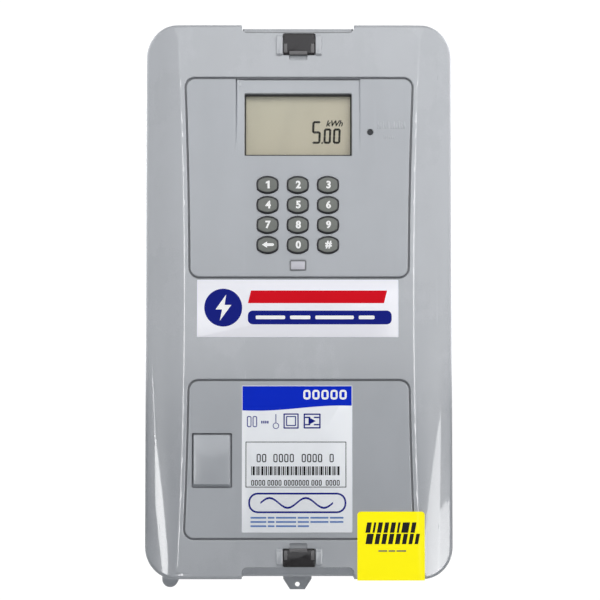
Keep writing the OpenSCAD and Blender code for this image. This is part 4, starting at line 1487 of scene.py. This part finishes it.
def area_light(name, place, target, size, glow, upward=(0, 0, 1), warm=False):
    """A softbox whose second side runs along upward.

    A warm one lights the scene; the others only show as reflections.
    """
    lamp = bpy.data.lights.new(name, "AREA")
    lamp.shape, lamp.size, lamp.size_y = "RECTANGLE", *size
    lamp.energy = glow * math.pi * size[0] * size[1]
    lamp.color = (1.0, 0.985, 0.955) if warm else (1, 1, 1)
    holder = placed(name, lamp)
    holder.location = place
    facing = (Vector(place) - Vector(target)).normalized()
    tall = (Vector(upward) - facing * facing.dot(Vector(upward))).normalized()
    holder.visible_glossy, holder.visible_diffuse = not warm, warm
    holder.rotation_euler = Matrix((tall.cross(facing), tall, facing)).transposed().to_euler()


def sky(tree):
    """White for the camera and dim for diffuse light.

    Reflections see a soft horizon, brighter to the right.
    """
    def node(kind, **settings):
        made = tree.nodes.new("ShaderNode" + kind)
        for key, value in settings.items():
            setattr(made, key, value)
        return made

    def ramp(source, low, high, bottom, top):
        made = node("MapRange", interpolation_type="SMOOTHSTEP")
        tree.links.new(source, made.inputs[0])
        for i, value in enumerate((low, high, bottom, top), 1):
            made.inputs[i].default_value = value
        return made.outputs[0]

    def product(first, second):
        made = node("Math", operation="MULTIPLY")
        tree.links.new(first, made.inputs[0])
        tree.links.new(second, made.inputs[1])
        return made.outputs[0]

    def pick(ray, usual, special):
        made = node("MixShader")
        tree.links.new(ray, made.inputs[0])
        tree.links.new(usual, made.inputs[1])
        tree.links.new(special, made.inputs[2])
        return made.outputs[0]

    where, axes, path = node("TexCoord"), node("SeparateXYZ"), node("LightPath")
    tree.links.new(where.outputs["Generated"], axes.inputs[0])
    seen, dim, shine = tree.nodes["Background"], node("Background"), node("Background")
    for backdrop, colour, strength in ((seen, (1, 1, 1, 1), 1.05), (dim, (0.88, 0.94, 1.0, 1), SKY_DIM),
                                       (shine, (0.95, 0.97, 1.0, 1), 1)):
        backdrop.inputs["Color"].default_value = colour
        backdrop.inputs["Strength"].default_value = strength
    across = ramp(axes.outputs["X"], -0.9, 0.9, 2.2, 2.8)
    horizon = ramp(axes.outputs["Z"], -0.005, 0.03, 0.06, 1)
    zenith = ramp(axes.outputs["Z"], 0.25, 0.7, 1, 0.35)
    tree.links.new(product(product(across, horizon), zenith), shine.inputs["Strength"])
    lit = pick(path.outputs["Is Glossy Ray"], dim.outputs[0], shine.outputs[0])
    whole = pick(path.outputs["Is Camera Ray"], lit, seen.outputs[0])
    tree.links.new(whole, tree.nodes["World Output"].inputs[0])


def studio():
    """White surroundings, one soft key from above, and softboxes that only show as reflections."""
    world = bpy.data.worlds.new("studio_world")
    bpy.context.scene.world = world
    world.use_nodes = True
    sky(world.node_tree)
    area_light("key_soft", (0.10, -0.56, 0.42), (0, -0.06, 0.04), (0.6, 0.3), KEY_GLOW, warm=True)
    for softbox in SOFTBOXES:
        area_light(*softbox)
    corners = ((-FLOOR_HALF, -FLOOR_HALF), (FLOOR_HALF, -FLOOR_HALF),
               (FLOOR_HALF, FLOOR_BACK), (-FLOOR_HALF, FLOOR_BACK))
    mesh = bpy.data.meshes.new("studio_floor")
    mesh.from_pydata([(x, y, FLOOR_Z) for x, y in corners], [], [(0, 1, 2, 3)])
    mesh.materials.append(paper("pale_floor", (0.86, 0.86, 0.86), rough=0.7, glow=0.15))
    ground = placed("studio_floor", mesh)
    bpy.context.scene.view_settings.view_transform = "Standard"


camera()
studio()
